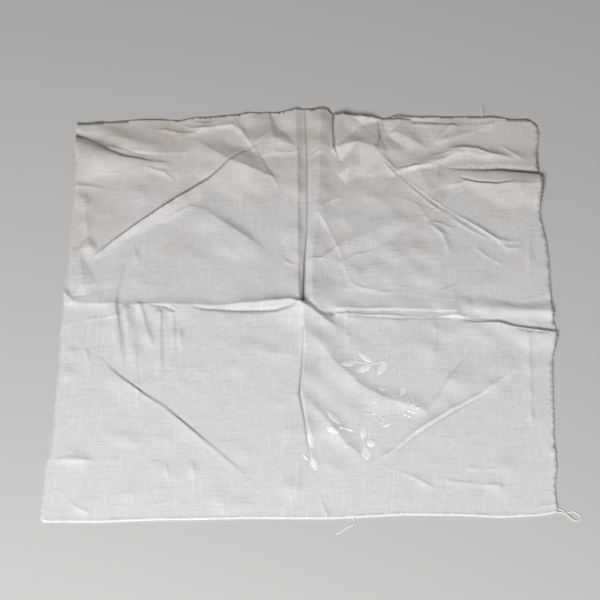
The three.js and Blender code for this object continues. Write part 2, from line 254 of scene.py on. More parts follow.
# Small creases lie on the main folds and add to them. Columns as above.
SMALL_CREASES = [
    Fold("light line beside the back crease", "crest", [
        (-4, 47, 0.5, 0.7, 0.7), (-4.5, 124, 0.5, 0.7, 0.7)]),
    Fold("bend beside the back crease", "crest", [
        (10, 73, 0.3, 3, 0.8), (11.5, 79, 0.8, 3.4, 0.9), (19.5, 85, 0.8, 3, 1),
        (26, 86.5, 0.2, 3, 1)]),
    Fold("crumple right of the crossing, upper", "crest", [
        (24, 38, 0.5, 1, 3), (18, 54, 0.9, 0.9, 3), (13.5, 65, 0.9, 0.9, 3), (8.5, 73.5, 0.4, 1, 2)]),
    Fold("crumple right of the crossing, lower", "crest", [
        (2.5, 36.5, 0.2, 0.8, 3), (11, 38, 1, 0.8, 3), (20, 47.5, 0.7, 0.8, 3)]),
    Fold("crumple left of the crossing, upper", "crest", [
        (-14.5, 46.5, 0.3, 3, 1), (-11, 56.5, 0.7, 3, 1), (-7, 65.5, 0.3, 3, 1)]),
    Fold("crumple left of the crossing, lower", "crest", [
        (-15.5, 42, 0.3, 0.9, 3), (-10.5, 34.5, 0.8, 0.9, 3), (-4.5, 31, 0.3, 0.9, 2)]),
    Fold("tick left of the back crease", "crest", [
        (-17, 123, 0.5, 0.8, 2), (-9.5, 122, 0.8, 1, 2), (-5, 124, 0.5, 1, 1.6)]),
    Fold("tick right of the back crease", "crest", [
        (4.5, 120.5, 0.6, 0.9, 0.9), (9.5, 124, 0.6, 0.9, 0.9)]),
    Fold("crumple at the back hem, first", "crest", [
        (-99.5, 141.5, 0.4, 1, 2), (-90, 141.5, 1, 0.9, 3), (-81.5, 138.5, 1, 0.9, 3),
        (-72, 138, 0.4, 1, 2)]),
    Fold("crumple at the back hem, second", "crest", [
        (-80, 147, 0.6, 1, 1.4), (-74, 143, 0.9, 0.9, 1.6), (-64.5, 142.5, 0.6, 0.9, 1.6)]),
    Fold("crumple at the back hem, third", "crest", [
        (-74, 149, 0.6, 0.9, 1.4), (-64.5, 146.5, 0.6, 0.9, 1.4), (-57.5, 149, 0.6, 0.9, 1.4)]),
    Fold("light band above the facet", "crest", [
        (-74, 137.5, 0.4, 3, 1), (-64.5, 142.5, 1.2, 4, 1.4), (-47, 145.5, 1.4, 4, 1.6),
        (-40, 139, 0.9, 3, 2), (-36, 131, 0.3, 3, 2)]),
    Fold("cross crease, back left", "crest", [
        (-48.5, 155.5, 0.3, 1, 1), (-41, 141.5, 0.6, 1.4, 2), (-34.5, 129, 0.7, 1.4, 2.6),
        (-27, 115, 0.5, 1.4, 2.6), (-20, 101, 0.5, 1.4, 2), (-9, 81, 0.2, 2, 2)]),
    Fold("short cross crease, back left", "crest", [
        (-33, 129.5, 0.2, 1.4, 1), (-27, 135, 0.6, 1.4, 1), (-25, 138, 0.2, 1.4, 1)]),
    Fold("wedge below the puff", "crest", [
        (-90, 106, 0.8, 0.9, 2), (-85.5, 102.5, 0.9, 0.9, 2.6), (-77.5, 91, 0.4, 1.6, 3)]),
    Fold("edge below the puff", "tent", [
        (-98.5, 109.5, 0.6, 1, 3), (-93.5, 107.5, 0.8, 1, 3), (-88, 107, 0.4, 1, 2)]),
    Fold("lip behind the puff", "crest", [
        (-123.5, 126, 0.8, 3, 1), (-112, 123.5, 1, 3, 1), (-92.5, 122, 0.8, 3, 1.4),
        (-76, 122.5, 0.3, 3, 1.4)]),
    Fold("shade before the puff", "tent", [
        (-145, 95.5, 1, 2.6, 5), (-136, 94.5, 1.2, 2.8, 5), (-127.5, 92.5, 1, 3.4, 4),
        (-118, 90, 0.4, 3, 4)]),
    Fold("front edge of the bright facet", "crest", [
        (-89.5, 65, 0.3, 0.8, 1.4), (-81.5, 72, 0.8, 0.8, 2.6), (-72, 78.5, 0.8, 0.9, 3),
        (-67.5, 78, 0.3, 1, 3)]),
    Fold("dent, back left", "roll", [(-90.5, 26, 0.5, 2, 2), (-83, 26, 0.6, 2, 2)]),
    Fold("dent left of the middle", "tent", [
        (-110, 52, 0.2, 3, 3), (-106.5, 48, 0.9, 3, 3.4), (-104.5, 38, 0.3, 3, 3)]),
    Fold("corner of the left hem", "crest", [(-147.5, 11, 0.7, 1, 3), (-142.5, 4.5, 0.7, 1, 3)]),
    Fold("thin line by the left hem", "tent", [
        (-139, 98, 0.1, 5, 6), (-138, 84, 1.4, 5, 9), (-137, 64, 2, 5, 9), (-134, 46, 1.2, 5, 6)]),
    Fold("double diagonal, near crest", "crest", [
        (47, 121, 0.1, 1, 1), (58, 107.5, 0.8, 0.9, 0.9), (80.5, 84.5, 0.9, 0.9, 0.8),
        (104, 66, 0.9, 0.9, 0.8), (120.5, 53.5, 1, 1, 1.4), (127, 46.5, 1.2, 3, 2.4),
        (134, 46.5, 0.5, 3, 2)]),
    Fold("double diagonal, far crest", "crest", [
        (50, 115, 0.3, 0.7, 0.8), (58, 103.5, 0.8, 0.7, 1), (80.5, 80.5, 0.9, 0.7, 1),
        (102.5, 62, 0.8, 0.7, 1.2),
        (119, 51.5, 0.4, 0.8, 1.2)]),
    Fold("dark band beside the double diagonal", "tent", [
        (101.5, 70, 0.3, 2, 2), (110, 62.5, 0.8, 3.2, 2), (119, 54.5, 0.9, 3.6, 2),
        (126, 52, 0.9, 4, 3),
        (134, 52.5, 0.4, 3, 3)]),
    Fold("crumple by the peak, third", "crest", [
        (81, 127.5, 0.4, 1, 1), (87, 138, 0.9, 1.4, 2.4), (95, 146.5, 0.9, 1.4, 2.4),
        (101, 152, 0.3, 1, 2)]),
    Fold("inner edge of the back hem", "crest", [
        (71, 146.5, 0.5, 0.7, 1.4), (93.5, 146, 0.7, 0.7, 1.6), (109.5, 145.5, 0.7, 0.7, 1.6),
        (126, 149, 0.3, 0.7, 1.4)]),
    Fold("light band before the back hem", "roll", [
        (86.5, 132.5, 0.5, 2.4, 2), (99.5, 138, 0.9, 2.6, 3), (112.5, 142.5, 0.9, 2.4, 2.4),
        (120.5, 146, 0.3, 2, 2)]),
    Fold("arc on the back roll, front side", "crest", [
        (84.5, 120, 0.6, 2, 0.9), (92, 122.5, 0.8, 2, 0.9), (101.5, 126, 0.7, 2.6, 1.2),
        (111, 124.5, 0.6, 2.6, 1.6),
        (118, 120.5, 0.3, 2, 2)]),
    Fold("arc on the back roll, back side", "tent", [
        (89, 125, 0.3, 1.2, 1), (100.5, 126.5, 0.7, 1.6, 1), (110, 126, 0.8, 1.6, 1),
        (119.5, 121.5, 0.9, 2, 1.6),
        (131, 119.5, 0.5, 2, 2)]),
    Fold("streak on the back roll", "crest", [
        (119.5, 135, 0.5, 1.4, 1.4), (128, 127.5, 0.9, 2, 1.4), (135, 121, 0.9, 2, 1.6),
        (139.5, 117.5, 0.3, 1.4, 1.4)]),
    Fold("step before the back roll", "crest", [
        (58.5, 107, 0.4, 3, 1), (73.5, 112, 0.8, 3, 1), (86.5, 115, 0.8, 3, 1),
        (94, 120.5, 0.5, 2.4, 1),
        (100.5, 123.5, 0.2, 2, 1)]),
    Fold("upright line by the bulge", "crest", [
        (80.5, 95, 0.3, 1.2, 2), (84, 102.5, 0.7, 1, 2.2), (85.5, 114.5, 0.4, 1, 2)]),
    Fold("lip on the bulge", "crest", [
        (100, 101, 0.4, 0.8, 2), (110, 97.5, 0.8, 0.8, 2.4), (122, 95.5, 0.8, 0.8, 2.4),
        (131, 97, 0.3, 0.8, 2)]),
    Fold("tick by the bulge, first", "crest", [
        (92, 97, 0.4, 0.8, 2), (98.5, 97.5, 1, 0.8, 2.4), (102.5, 100, 0.3, 0.8, 2)]),
    Fold("tick by the bulge, second", "crest", [
        (87.5, 87, 0.3, 1.2, 2), (93.5, 90.5, 0.7, 1, 2), (100.5, 94.5, 0.5, 0.9, 2)]),
    Fold("star, right arm", "crest", [
        (79.5, 67.5, 0.4, 1, 1), (87, 65.5, 0.9, 1.4, 1.2), (92.5, 62, 0.4, 1.4, 1.2)]),
    Fold("star, bright lobe", "tent", [
        (79.5, 64.5, 0.5, 3, 1.4), (86.5, 57, 1, 3.4, 2), (89, 49.5, 0.6, 3, 2), (90, 44, 0.2, 2, 2)]),
    Fold("star, back left arm", "crest", [
        (77, 70, 0.5, 1.4, 1.4), (71.5, 81, 0.5, 1.6, 1.2), (66.5, 86, 0.2, 1.2, 1.2)]),
    Fold("star, back right arm", "crest", [(77.5, 70.5, 0.4, 1.2, 1.2), (83, 78, 0.4, 1.2, 1.2)]),
    Fold("crumple before the long step", "crest", [
        (23.5, 35.5, 0.5, 1.2, 3), (33, 41.5, 1, 1, 3.4), (42, 44, 0.5, 1, 3)]),
    Fold("thin line right of the crossing", "crest", [
        (24, 34.5, 0.3, 1, 1), (29, 19, 0.4, 1, 1.4), (36.5, 15, 0.5, 1, 1.4),
        (51.5, 11.5, 0.2, 1, 1)]),
    Fold("step by the right hem", "tent", [
        (103.5, 50.5, 0.3, 2.4, 1.4), (113, 40.5, 0.7, 3, 1.6), (121.5, 34, 0.5, 3, 1.6)]),
    Fold("upright fold by the right hem", "roll", [
        (139, 25, 0.4, 1.2, 3), (140.5, 48, 0.8, 1.2, 3), (141.5, 66.5, 0.4, 1.2, 3)]),
    Fold("dent behind the lap", "tent", [
        (120.5, 8.5, 0.3, 1.4, 2), (136, 7, 0.9, 2, 3), (148.5, 11, 0.4, 1.4, 2)]),
    Fold("line before the left crease", "crest", [
        (-143, -12.5, 0.3, 2.4, 0.9), (-130.5, -9.5, 0.5, 2.4, 0.9), (-113.5, -7, 0.5, 2.6, 0.9)]),
    Fold("upright line, front left, first", "crest", [
        (-72.5, -49, 0.2, 1.4, 1.2), (-74.5, -29.5, 0.7, 1.2, 1.6), (-78, -2, 0.7, 1.2, 1.6)]),
    Fold("upright line, front left, second", "crest", [
        (-81, -73, 0.2, 1, 1), (-81.5, -48, 0.5, 1, 1.4), (-83.5, -20, 0.5, 1, 1.4)]),
    Fold("upright line, front left, third", "crest", [
        (-97.5, -105, 0.2, 1.4, 1.4), (-98.5, -70, 0.5, 1.4, 1.4), (-100.5, -49.5, 0.5, 1.4, 1.2),
        (-102.5, -29.5, 0.2, 1, 1)]),
    Fold("dent at the left hem, first", "roll", [
        (-128, -49.5, 0.3, 2, 2), (-131.5, -33.5, 0.8, 2.4, 1.4)]),
    Fold("dent at the left hem, second", "roll", [
        (-143, -52.5, 0.6, 3, 2.4), (-140, -33.5, 0.8, 2.4, 3)]),
    Fold("band at the left hem", "tent", [
        (-149, -111, 0.5, 2.4, 3), (-131.5, -112, 0.6, 3.2, 4), (-113.5, -112, 0.55, 3, 4),
        (-96, -111.5, 0.2, 2, 3)]),
    Fold("arc at the front left corner", "crest", [
        (-150, -124, 0.2, 0.8, 1), (-143, -134, 0.35, 0.9, 1.6), (-133, -144, 0.4, 0.9, 1.6),
        (-122, -150, 0.35, 0.9, 1.6), (-115, -152.5, 0.2, 0.8, 1)]),
    Fold("arc by the front hem", "crest", [
        (-113.5, -143, 0.2, 1, 1), (-95, -144.5, 0.5, 1.2, 1.4), (-76.5, -140, 0.2, 1, 1)]),
    Fold("upright line by the front hem, first", "crest", [
        (-78.5, -127, 0.2, 0.9, 1.2), (-80.5, -118, 0.7, 0.9, 1.4), (-79, -91, 0.3, 0.9, 1.2)]),
    Fold("upright line by the front hem, second", "roll", [
        (-60.5, -150, 0.2, 2, 1.6), (-64, -126.5, 0.7, 2, 1.6), (-67, -98, 0.3, 2, 1.6)]),
    Fold("upright line by the front hem, third", "crest", [
        (-88.5, -113.5, 0.2, 0.9, 1), (-90.5, -102, 0.5, 0.9, 1.2)]),
    Fold("tick at the front hem, first", "crest", [
        (-46.5, -150, 0.5, 0.9, 1.2), (-45.5, -142.5, 0.2, 0.9, 1.2)]),
    Fold("tick at the front hem, second", "crest", [
        (-29, -151, 0.7, 0.9, 1.4), (-27.5, -137, 0.2, 0.9, 1.2)]),
    Fold("tick at the front hem, third", "crest", [
        (-5.5, -143, 0.4, 0.7, 0.8), (-6, -135.5, 0.3, 0.7, 0.8)]),
    Fold("end of the front crease", "crest", [
        (-4, -137.5, 0.3, 0.9, 1.2), (-2.5, -122.5, 0.9, 0.9, 1.6), (-1, -108.5, 0.4, 0.9, 1.2)]),
    Fold("tuck at the front hem, first", "tent", [
        (14.5, -151, 0.9, 1, 3), (11, -141, 0.9, 1, 3), (9.5, -133, 0.2, 1, 2)]),
    Fold("tuck at the front hem, second", "crest", [
        (14.5, -136.5, 0.3, 1.4, 1.4), (17.5, -122.5, 0.5, 1.4, 1.4)]),
    Fold("tuck at the front hem, third", "crest", [
        (34.5, -147.5, 0.5, 1.4, 1.4), (37, -137, 0.2, 1.4, 1.4)]),
    Fold("long line, front right", "crest", [
        (47, -114.5, 0.2, 1, 1.6), (63, -121.5, 0.55, 1, 2), (78.5, -131, 0.5, 1, 2),
        (94.5, -141.5, 0.2, 1, 1.6)]),
    Fold("wedge, front right", "tent", [
        (75.5, -123.5, 0.2, 2, 6), (98, -126.5, 1.1, 2.2, 8), (118, -129, 0.4, 2, 6)]),
    Fold("level line, front right, first", "crest", [
        (89.5, -116.5, 0.2, 0.8, 1), (113, -116.5, 0.4, 0.8, 1)]),
    Fold("level line, front right, second", "crest", [
        (94, -104, 0.2, 0.8, 1), (116.5, -103, 0.4, 0.8, 1)]),
    Fold("level line, front right, third", "crest", [(88, -98, 0.3, 0.8, 1), (103, -98, 0.3, 0.8, 1)]),
    Fold("upright fold, right hem", "roll", [
        (136, -95, 0.3, 2.4, 1.2), (136.5, -69, 0.9, 3, 1.2), (137, -21, 0.6, 3, 1.2)]),
    Fold("facet at the right hem", "tent", [
        (133, -104.5, 0.2, 5, 3), (142.5, -106, 0.5, 7, 5), (149.5, -106, 0.5, 8, 5)]),
    Fold("arc at the front right corner", "crest", [
        (131, -145, 0.2, 1, 1.4), (139.5, -142, 0.7, 1, 1.6), (148, -141, 0.6, 1, 1.6)]),
    Fold("step right of the pit", "tent", [(26, -4, 0.5, 3, 1), (26.5, -21.5, 0.5, 3, 1.4)]),
]
# Crumples are patches of flat facets with sharp edges, where the cloth was pressed as it lay.
# Each corner is x, y and lift. Each crease joins two corners, counted from 0, and the cloth
# between the other corners is folded along the shortest lines.
Crumple = namedtuple("Crumple", "name corners creases")
CRUMPLES = [
    Crumple("peak, back right", [
        (19.5, 162, 3.4), (25, 157.5, 4.4), (38, 157, 4.4), (37, 146, 0.5), (47, 148.5, 0.4),
        (34, 129, 5.4),
        (44.5, 125, 4.8), (47.5, 133.5, 3), (19.5, 125.5, 4), (28, 108, 4), (23, 115.5, 1),
        (25.5, 98, 0.5),
        (35.5, 111, 1.8), (27, 95.5, 0), (42, 102.5, 0), (58, 108.5, 0.3), (50, 149, 0.4),
        (50, 133, 1.2),
        (17, 164, 0), (16.5, 125, 0), (15, 112, 0), (20, 104, 0), (60.5, 105.5, 0), (53.5, 123, 2),
        (50, 161, 3.4), (59, 160.5, 3.4), (71.5, 161, 1.4), (85.5, 160.5, 0.4), (51, 153, 0.6),
        (61.5, 147.5, 2.2),
        (58.5, 139, 2.6), (69, 151, 1), (70, 132.5, 2), (80, 126, 0.3), (66, 126, 0.8),
        (58.5, 131.5, 1.2),
        (53.5, 138.5, 0.2), (81.5, 149.5, 0.1), (79, 138.5, 0), (25, 164, 4.6), (38, 164, 4.6)],
        [(0, 1), (1, 2), (1, 3), (3, 4), (2, 4), (3, 5), (5, 6), (6, 7), (7, 4), (5, 9), (9, 11),
         (6, 12), (12, 13),
         (5, 8), (8, 10), (6, 15), (13, 14), (14, 15), (4, 16), (7, 17), (16, 17), (25, 29), (29, 30),
         (30, 32)]),
    Crumple("dark facet at the back hem", [
        (-24, 160, 0.2), (-14, 141.5, 0), (-5, 126, 0), (-20.5, 134, 3.2), (-19.5, 124, 2),
        (-22.5, 149, 2.4),
        (-36, 151.5, 0), (-38, 133, 0), (-29.5, 118.5, 0), (-12.5, 119, 0)],
        [(0, 1), (1, 2), (0, 5), (5, 3), (3, 4), (4, 2)]),
    Crumple("long valley, back right", [
        (23.5, 35.5, 0), (50.5, 50.5, 0), (76, 68.5, 0), (31, 53, 1.4), (57, 66, 1.4), (76, 79, 0.5),
        (36, 27, 1.3), (62, 40, 1.5), (83, 56, 1.2), (16, 13.5, 0), (25.5, 13.5, 0.2), (16, 44.5, 0),
        (94.5, 65, 0), (97, 33, 0), (77.5, 8, 0), (22.5, 76.5, 0), (85.5, 76, 0), (50, 94, 0)],
        [(0, 1), (1, 2)]),
    Crumple("facets by the left hem", [
        (-139.5, 43, 1.4), (-137, 15.5, 2.4), (-130, 49.5, 0), (-127, 17.5, 0), (-145.5, 44, 0),
        (-144.5, 17, 0.8),
        (-135, 53, 0.2), (-134, 8.5, 0), (-143, 7.5, 0)],
        [(0, 1), (2, 3), (0, 2), (1, 3)]),
    Crumple("facet behind the lap", [
        (91, 16, 1), (93, 4, 1.6), (93.5, -6, 1.8), (103.5, 9, 0), (104.5, -8, 0), (79, 12, 0),
        (80, -6, 0),
        (97, 22, 0)],
        [(0, 1), (1, 2), (3, 4)]),
    Crumple("facet beside the roll, back right", [
        (60.5, 108.5, 0.4), (72, 111, 1.4), (84, 114, 0.9), (79.5, 91.5, 1.6), (84.5, 108.5, 0.4),
        (70.5, 91, 0.2), (60.5, 102, 0.2), (58, 110, 0), (90, 112, 0), (88, 96, 0), (78, 84, 0),
        (66, 92, 0)],
        [(3, 4)]),
]
# Slits are the narrow dark valleys beside a pressed ridge: they lower the cloth, and shade is also
# painted into the linen's colour along them. The lift column is their depth.
SLITS = [
    Fold("centre crease, back", "slit", [
        (-0.5, 5.5, 3.4, 0.9, 0.9), (0, 34, 2.2, 0.6, 0.6), (1.5, 59, 1.5, 0.4, 0.4),
        (1.5, 91, 1.4, 0.35, 0.35), (1.5, 111.5, 1.6, 0.4, 0.4), (0.5, 140.5, 1.4, 0.35, 0.35),
        (-0.5, 161, 1.4, 0.4, 0.4)]),
    Fold("before the left crease, outer", "slit", [
        (-94.5, 1.5, 0.6, 0.5, 0.5), (-85, 0, 1.6, 0.6, 0.6), (-80, -3, 1.2, 0.6, 0.6)]),
    Fold("before the left crease, inner", "slit", [
        (-68.5, 0.5, 0.5, 0.5, 0.5), (-60.5, -1.5, 1.6, 0.6, 0.6), (-39, -3, 1.8, 0.7, 0.7),
        (-17.5, -2.5, 1.6, 0.6, 0.6), (-5, 1, 0.4, 0.5, 0.5)]),
    Fold("between the lips of the right crease", "slit", [
        (25, -1, 0.3, 0.4, 0.4), (40.5, -2, 0.5, 0.4, 0.4), (59, -2, 0.4, 0.4, 0.4),
        (89.5, -3.5, 0.3, 0.4, 0.4)]),
    Fold("before the right crease", "slit", [
        (26, -5.5, 0.4, 0.5, 0.5), (55.5, -8, 0.8, 0.7, 0.7), (89.5, -7.5, 0.7, 0.5, 0.5)]),
    Fold("behind the lap", "slit", [
        (103, -8, 0.6, 0.4, 0.4), (120, -8.5, 1.1, 0.5, 0.5), (129.5, -12, 1.3, 0.5, 0.5),
        (138, -13.5, 1.3, 0.5, 0.5), (154.5, -16, 1.5, 0.6, 0.6)]),
    Fold("on the lap", "slit", [
        (130.5, -15.5, 0.8, 0.4, 0.4), (139, -18, 1.2, 0.4, 0.4), (149.5, -19, 0.7, 0.4, 0.4)]),
    Fold("between the double diagonal's crests", "slit", [
        (50.5, 115, 0.4, 0.4, 0.4), (58.5, 106, 1.2, 0.4, 0.4), (80.5, 83, 1.3, 0.45, 0.45),
        (104, 64.5, 1, 0.4, 0.4), (120.5, 52.5, 0.4, 0.4, 0.4)]),
    Fold("second crease at the back", "slit", [
        (23, 115, 0.5, 0.5, 0.5), (19, 125.5, 1.6, 0.6, 0.6), (18, 144.5, 2, 0.7, 0.7),
        (18.5, 161, 2.4, 0.8, 0.8)]),
    Fold("right edge of the dark facet", "slit", [
        (47.5, 149, 0.8, 0.4, 0.4), (48.5, 135, 1.2, 0.5, 0.5), (45.5, 125.5, 0.5, 0.4, 0.4)]),
    Fold("along the back hem", "slit", [
        (69.5, 149, 1.2, 0.6, 0.6), (84, 148, 1.6, 0.7, 0.7), (95, 147.5, 0.8, 0.5, 0.5),
        (110.5, 147.5, 0.6, 0.5, 0.5)]),
    Fold("crumple at the back hem", "slit", [
        (50, 151.5, 1.6, 0.8, 0.8), (59, 151.5, 2, 1, 1), (68, 151, 1.6, 0.8, 0.8)]),
    Fold("pit beside the crossing", "slit", [
        (3, 4, 0.6, 0.5, 0.5), (9.5, -2.5, 0.7, 0.8, 0.8), (17, -5, 1.5, 1.6, 1.6)]),
    Fold("beside the front crease", "slit", [
        (4.5, -111, 0.5, 0.4, 0.4), (2, -95.5, 1.3, 0.6, 0.5), (0.5, -82, 1.6, 0.6, 0.5),
        (-2.5, -63, 1.8, 0.7, 0.5), (-1.5, -48, 1.5, 0.5, 0.4), (-0.5, -27.5, 0.8, 0.35, 0.35),
        (-1, -14.5, 0.7, 0.35, 0.35)]),
    Fold("behind the puff", "slit", [
        (-147.5, 136.5, 2.2, 1.2, 1.4), (-140.5, 134.5, 0.9, 1.6, 1.4), (-132, 128.5, 0.3, 2, 1),
        (-125, 123.5, 0.8, 0.7, 0.5), (-115, 120, 0.9, 0.45, 0.45), (-99, 117, 0.8, 0.45, 0.45),
        (-90.5, 116.5, 0.3, 0.4, 0.4)]),
    Fold("second line behind the puff", "slit", [
        (-119.5, 126.5, 0.4, 0.4, 0.4), (-112, 123.5, 1, 0.5, 0.5), (-102, 119.5, 0.8, 0.5, 0.5),
        (-93, 116.5, 0.3, 0.4, 0.4)]),
    Fold("behind the bulge", "slit", [
        (86, 111.5, 0.5, 0.5, 0.5), (95.5, 110, 1, 0.6, 0.7), (108.5, 109.5, 1.8, 0.8, 1),
        (127.5, 109.5, 2.4, 1, 1.4), (150, 106.5, 2.8, 1.2, 1.8)]),
    Fold("on the bulge", "slit", [
        (100, 103, 0.5, 0.5, 0.5), (110, 99, 1.6, 0.6, 0.6), (122, 97, 1.6, 0.6, 0.6),
        (131, 98.5, 0.6, 0.5, 0.5)]),
    Fold("short fold at the left", "slit", [
        (-108, -42, 0.2, 1.4, 1.4), (-110.5, -22, 0.6, 1.6, 1.6), (-114, 0.5, 0.6, 1.2, 1.2),
        (-114, 12, 0.3, 0.8, 0.8), (-111, 35, 0.2, 0.6, 0.6)]),
    Fold("beside the diagonal, back left", "slit", [
        (-115.5, 56.5, 0.8, 0.4, 0.4), (-88, 80.5, 1.4, 0.5, 0.5), (-60, 103, 1.6, 0.6, 0.6),
        (-38.5, 124.5, 0.8, 0.5, 0.5)]),
    Fold("beside the diagonal, front left", "slit", [
        (-124.5, -36.5, 0.4, 0.35, 0.35), (-110.5, -50.5, 1, 0.4, 0.4), (-95, -64, 1.5, 0.5, 0.5),
        (-82.5, -73, 1.4, 0.45, 0.45), (-58, -96.5, 1.2, 0.4, 0.4), (-33, -120.5, 0.4, 0.35, 0.35)]),
    Fold("beside the diagonal, front right", "slit", [
        (55.5, -105, 0.4, 0.35, 0.35), (67.5, -93.5, 0.8, 0.4, 0.4), (76.5, -86.5, 0.9, 0.4, 0.4),
        (91.5, -75.5, 0.8, 0.4, 0.4), (107, -66, 0.4, 0.35, 0.35)]),
]


def beside_stretch(start, end, x, y):
    """Each place's distance from a straight stretch, its share of the way along, and its side."""
    span = math.hypot(end[0] - start[0], end[1] - start[1])
    dx = (end[0] - start[0]) / span
    dy = (end[1] - start[1]) / span
    along = np.clip((x - start[0]) * dx + (y - start[1]) * dy, 0, span)
    distance = np.hypot(x - start[0] - dx * along, y - start[1] - dy * along)
    across = dx * (y - start[1]) - dy * (x - start[0])
    return distance, along / span, across / np.maximum(distance, LEAST_DISTANCE)


def fold_distance(points, x, y):
    """How far each place lies from a fold, as a share of its flank's reach, and the lift there."""
    nearest = np.full(x.shape, FAR_AWAY)
    ratio = np.full(x.shape, FAR_AWAY)
    lift = np.zeros(x.shape)
    for start, end in zip(points, points[1:]):
        distance, share, side = beside_stretch(start, end, x, y)
        left = start[3] + (end[3] - start[3]) * share
        right = start[4] + (end[4] - start[4]) * share
        reach = ((1 + side) * left + (1 - side) * right) / 2
        closer = distance < nearest
        nearest = np.where(closer, distance, nearest)
        ratio = np.where(closer, distance / reach, ratio)
        lift = np.where(closer, start[2] + (end[2] - start[2]) * share, lift)
    return ratio, lift


def fold_profile(shape, ratio):
    """The height of a fold's flank, from 1 on its ridge down to 0."""
    if shape == "crest":
        return np.exp(-ratio)
    if shape == "roll":
        return np.exp(-ratio * ratio)
    slope = 1 - ratio
    return (slope + np.sqrt(slope * slope + TENT_ROUNDING ** 2)) / 2


def widest_reach(fold):
    """The longest reach of a fold's flanks, in millimetres."""
    return max(max(point[3], point[4]) for point in fold.points)


def near_fold(fold, x, y, margin):
    """Which places lie within a margin of a fold's box, and their ratio and lift from it."""
    across = [point[0] for point in fold.points]
    back = [point[1] for point in fold.points]
    near = (
        (x > min(across) - margin) & (x < max(across) + margin)
        & (y > min(back) - margin) & (y < max(back) + margin)
    )
    ratio, lift = fold_distance(fold.points, x[near], y[near])
    return near, ratio, lift


def crumple_facets(crumple):
    """The facets of a crumple, as triples of its corners' numbers."""
    flat = [Vector(corner[:2]) for corner in crumple.corners]
    _, _, facets, sources, _, _ = delaunay_2d_cdt(flat, crumple.creases, [], 0, SAME_PLACE)
    return [[sources[corner][0] for corner in facet] for facet in facets]


def crumple_lift(crumple, x, y):
    """How high each place is lifted by one patch of flat facets, in millimetres."""
    rise = np.zeros(x.shape)
    for facet in crumple_facets(crumple):
        corners = [crumple.corners[corner] for corner in facet]
        (ax, ay, a_lift), (bx, by, b_lift), (cx, cy, c_lift) = corners
        doubled_area = (bx - ax) * (cy - ay) - (cx - ax) * (by - ay)
        b_share = ((x - ax) * (cy - ay) - (cx - ax) * (y - ay)) / doubled_area
        c_share = ((bx - ax) * (y - ay) - (x - ax) * (by - ay)) / doubled_area
        a_share = 1 - b_share - c_share
        inside = (a_share >= 0) & (b_share >= 0) & (c_share >= 0)
        lift = a_share * a_lift + b_share * b_lift + c_share * c_lift
        rise = np.where(inside, lift, rise)
    return rise


slack_random = np.random.default_rng(SLACK_SEED)
slack_heading = slack_random.uniform(0, math.pi, SLACK_WAVES)
slack_length = slack_random.uniform(*SLACK_LENGTHS, SLACK_WAVES)
slack_phase = slack_random.uniform(0, 2 * math.pi, SLACK_WAVES)
yarn_length = slack_random.uniform(*YARN_WAVE_LENGTHS, YARN_WAVES)
yarn_phase = slack_random.uniform(0, 2 * math.pi, (YARN_WAVES, 2))
yarn_drift = slack_random.uniform(*YARN_DRIFTS, YARN_WAVES)


def slack_in_cloth(x, y):
    """The cloth's own unevenness between its folds, in millimetres."""
    rise = np.zeros(x.shape)
    for heading, length, phase in zip(slack_heading, slack_length, slack_phase):
        run = (x * math.cos(heading) + y * math.sin(heading)) / length
        rise += SLACK_LIFT * np.sin(2 * math.pi * run + phase)
    for i, (length, phase, drift) in enumerate(zip(yarn_length, yarn_phase, yarn_drift)):
        across, along = (x, y) if i % 2 else (y, x)
        wave = np.sin(2 * math.pi * across / length + phase[0])
        rise += YARN_WAVE_LIFT * wave * np.sin(2 * math.pi * along / drift + phase[1])
    return rise


def cloth_lift(x, y):
    """How high the underside of the cloth lies above the floor, in millimetres."""
    main = np.zeros(x.shape)
    small = np.zeros(x.shape)
    for fold in MAIN_FOLDS:
        near, ratio, lift = near_fold(fold, x, y, MAIN_REACHES * widest_reach(fold))
        main[near] += (lift * fold_profile(fold.shape, ratio)) ** FOLD_BLEND
    for fold in SMALL_CREASES:
        near, ratio, lift = near_fold(fold, x, y, SMALL_REACHES * widest_reach(fold))
        small[near] += lift * fold_profile(fold.shape, ratio)
    height = main ** (1 / FOLD_BLEND) + small
    for crumple in CRUMPLES:
        height += crumple_lift(crumple, x, y)
    for fold in SLITS:
        near, ratio, depth = near_fold(fold, x, y, SLIT_REACHES * widest_reach(fold))
        height[near] -= depth * np.exp(-ratio)
    height += slack_in_cloth(x, y) - FLAT_BELOW
    return (height + np.sqrt(height * height + FLOOR_SOFTNESS ** 2)) / 2


def painted_shade_in_gaps(x, y):
    """How much painted shade a place gets in the narrow gap of a pressed crease, from 0 to 1."""
    shade = np.zeros(x.shape)
    for fold in SLITS:
        near, ratio, depth = near_fold(fold, x, y, PAINTED_SHADE_MARGIN)
        painted_gap_shade = np.clip(depth / PAINTED_SHADE_FULL_DEPTH, 0, 1) * np.exp(-ratio * ratio)
        shade[near] = np.maximum(shade[near], painted_gap_shade)
    return shade


def distance_to_line(line, x, y):
    """How far each place lies from a line of points, in millimetres."""
    stretches = zip(line, line[1:])
    return np.minimum.reduce([beside_stretch(start, end, x, y)[0] for start, end in stretches])


def hem_corners():
    """The corner points of the four hems, front, right, back and left."""
    half = CLOTH_SIDE / 2
    return (
        [(along, -half - out) for along, out in FRONT_HEM],
        [(half + out, along) for along, out in RIGHT_HEM],
        [(along, half + out) for along, out in BACK_HEM],
        [(-half - out, along) for along, out in LEFT_HEM],
    )


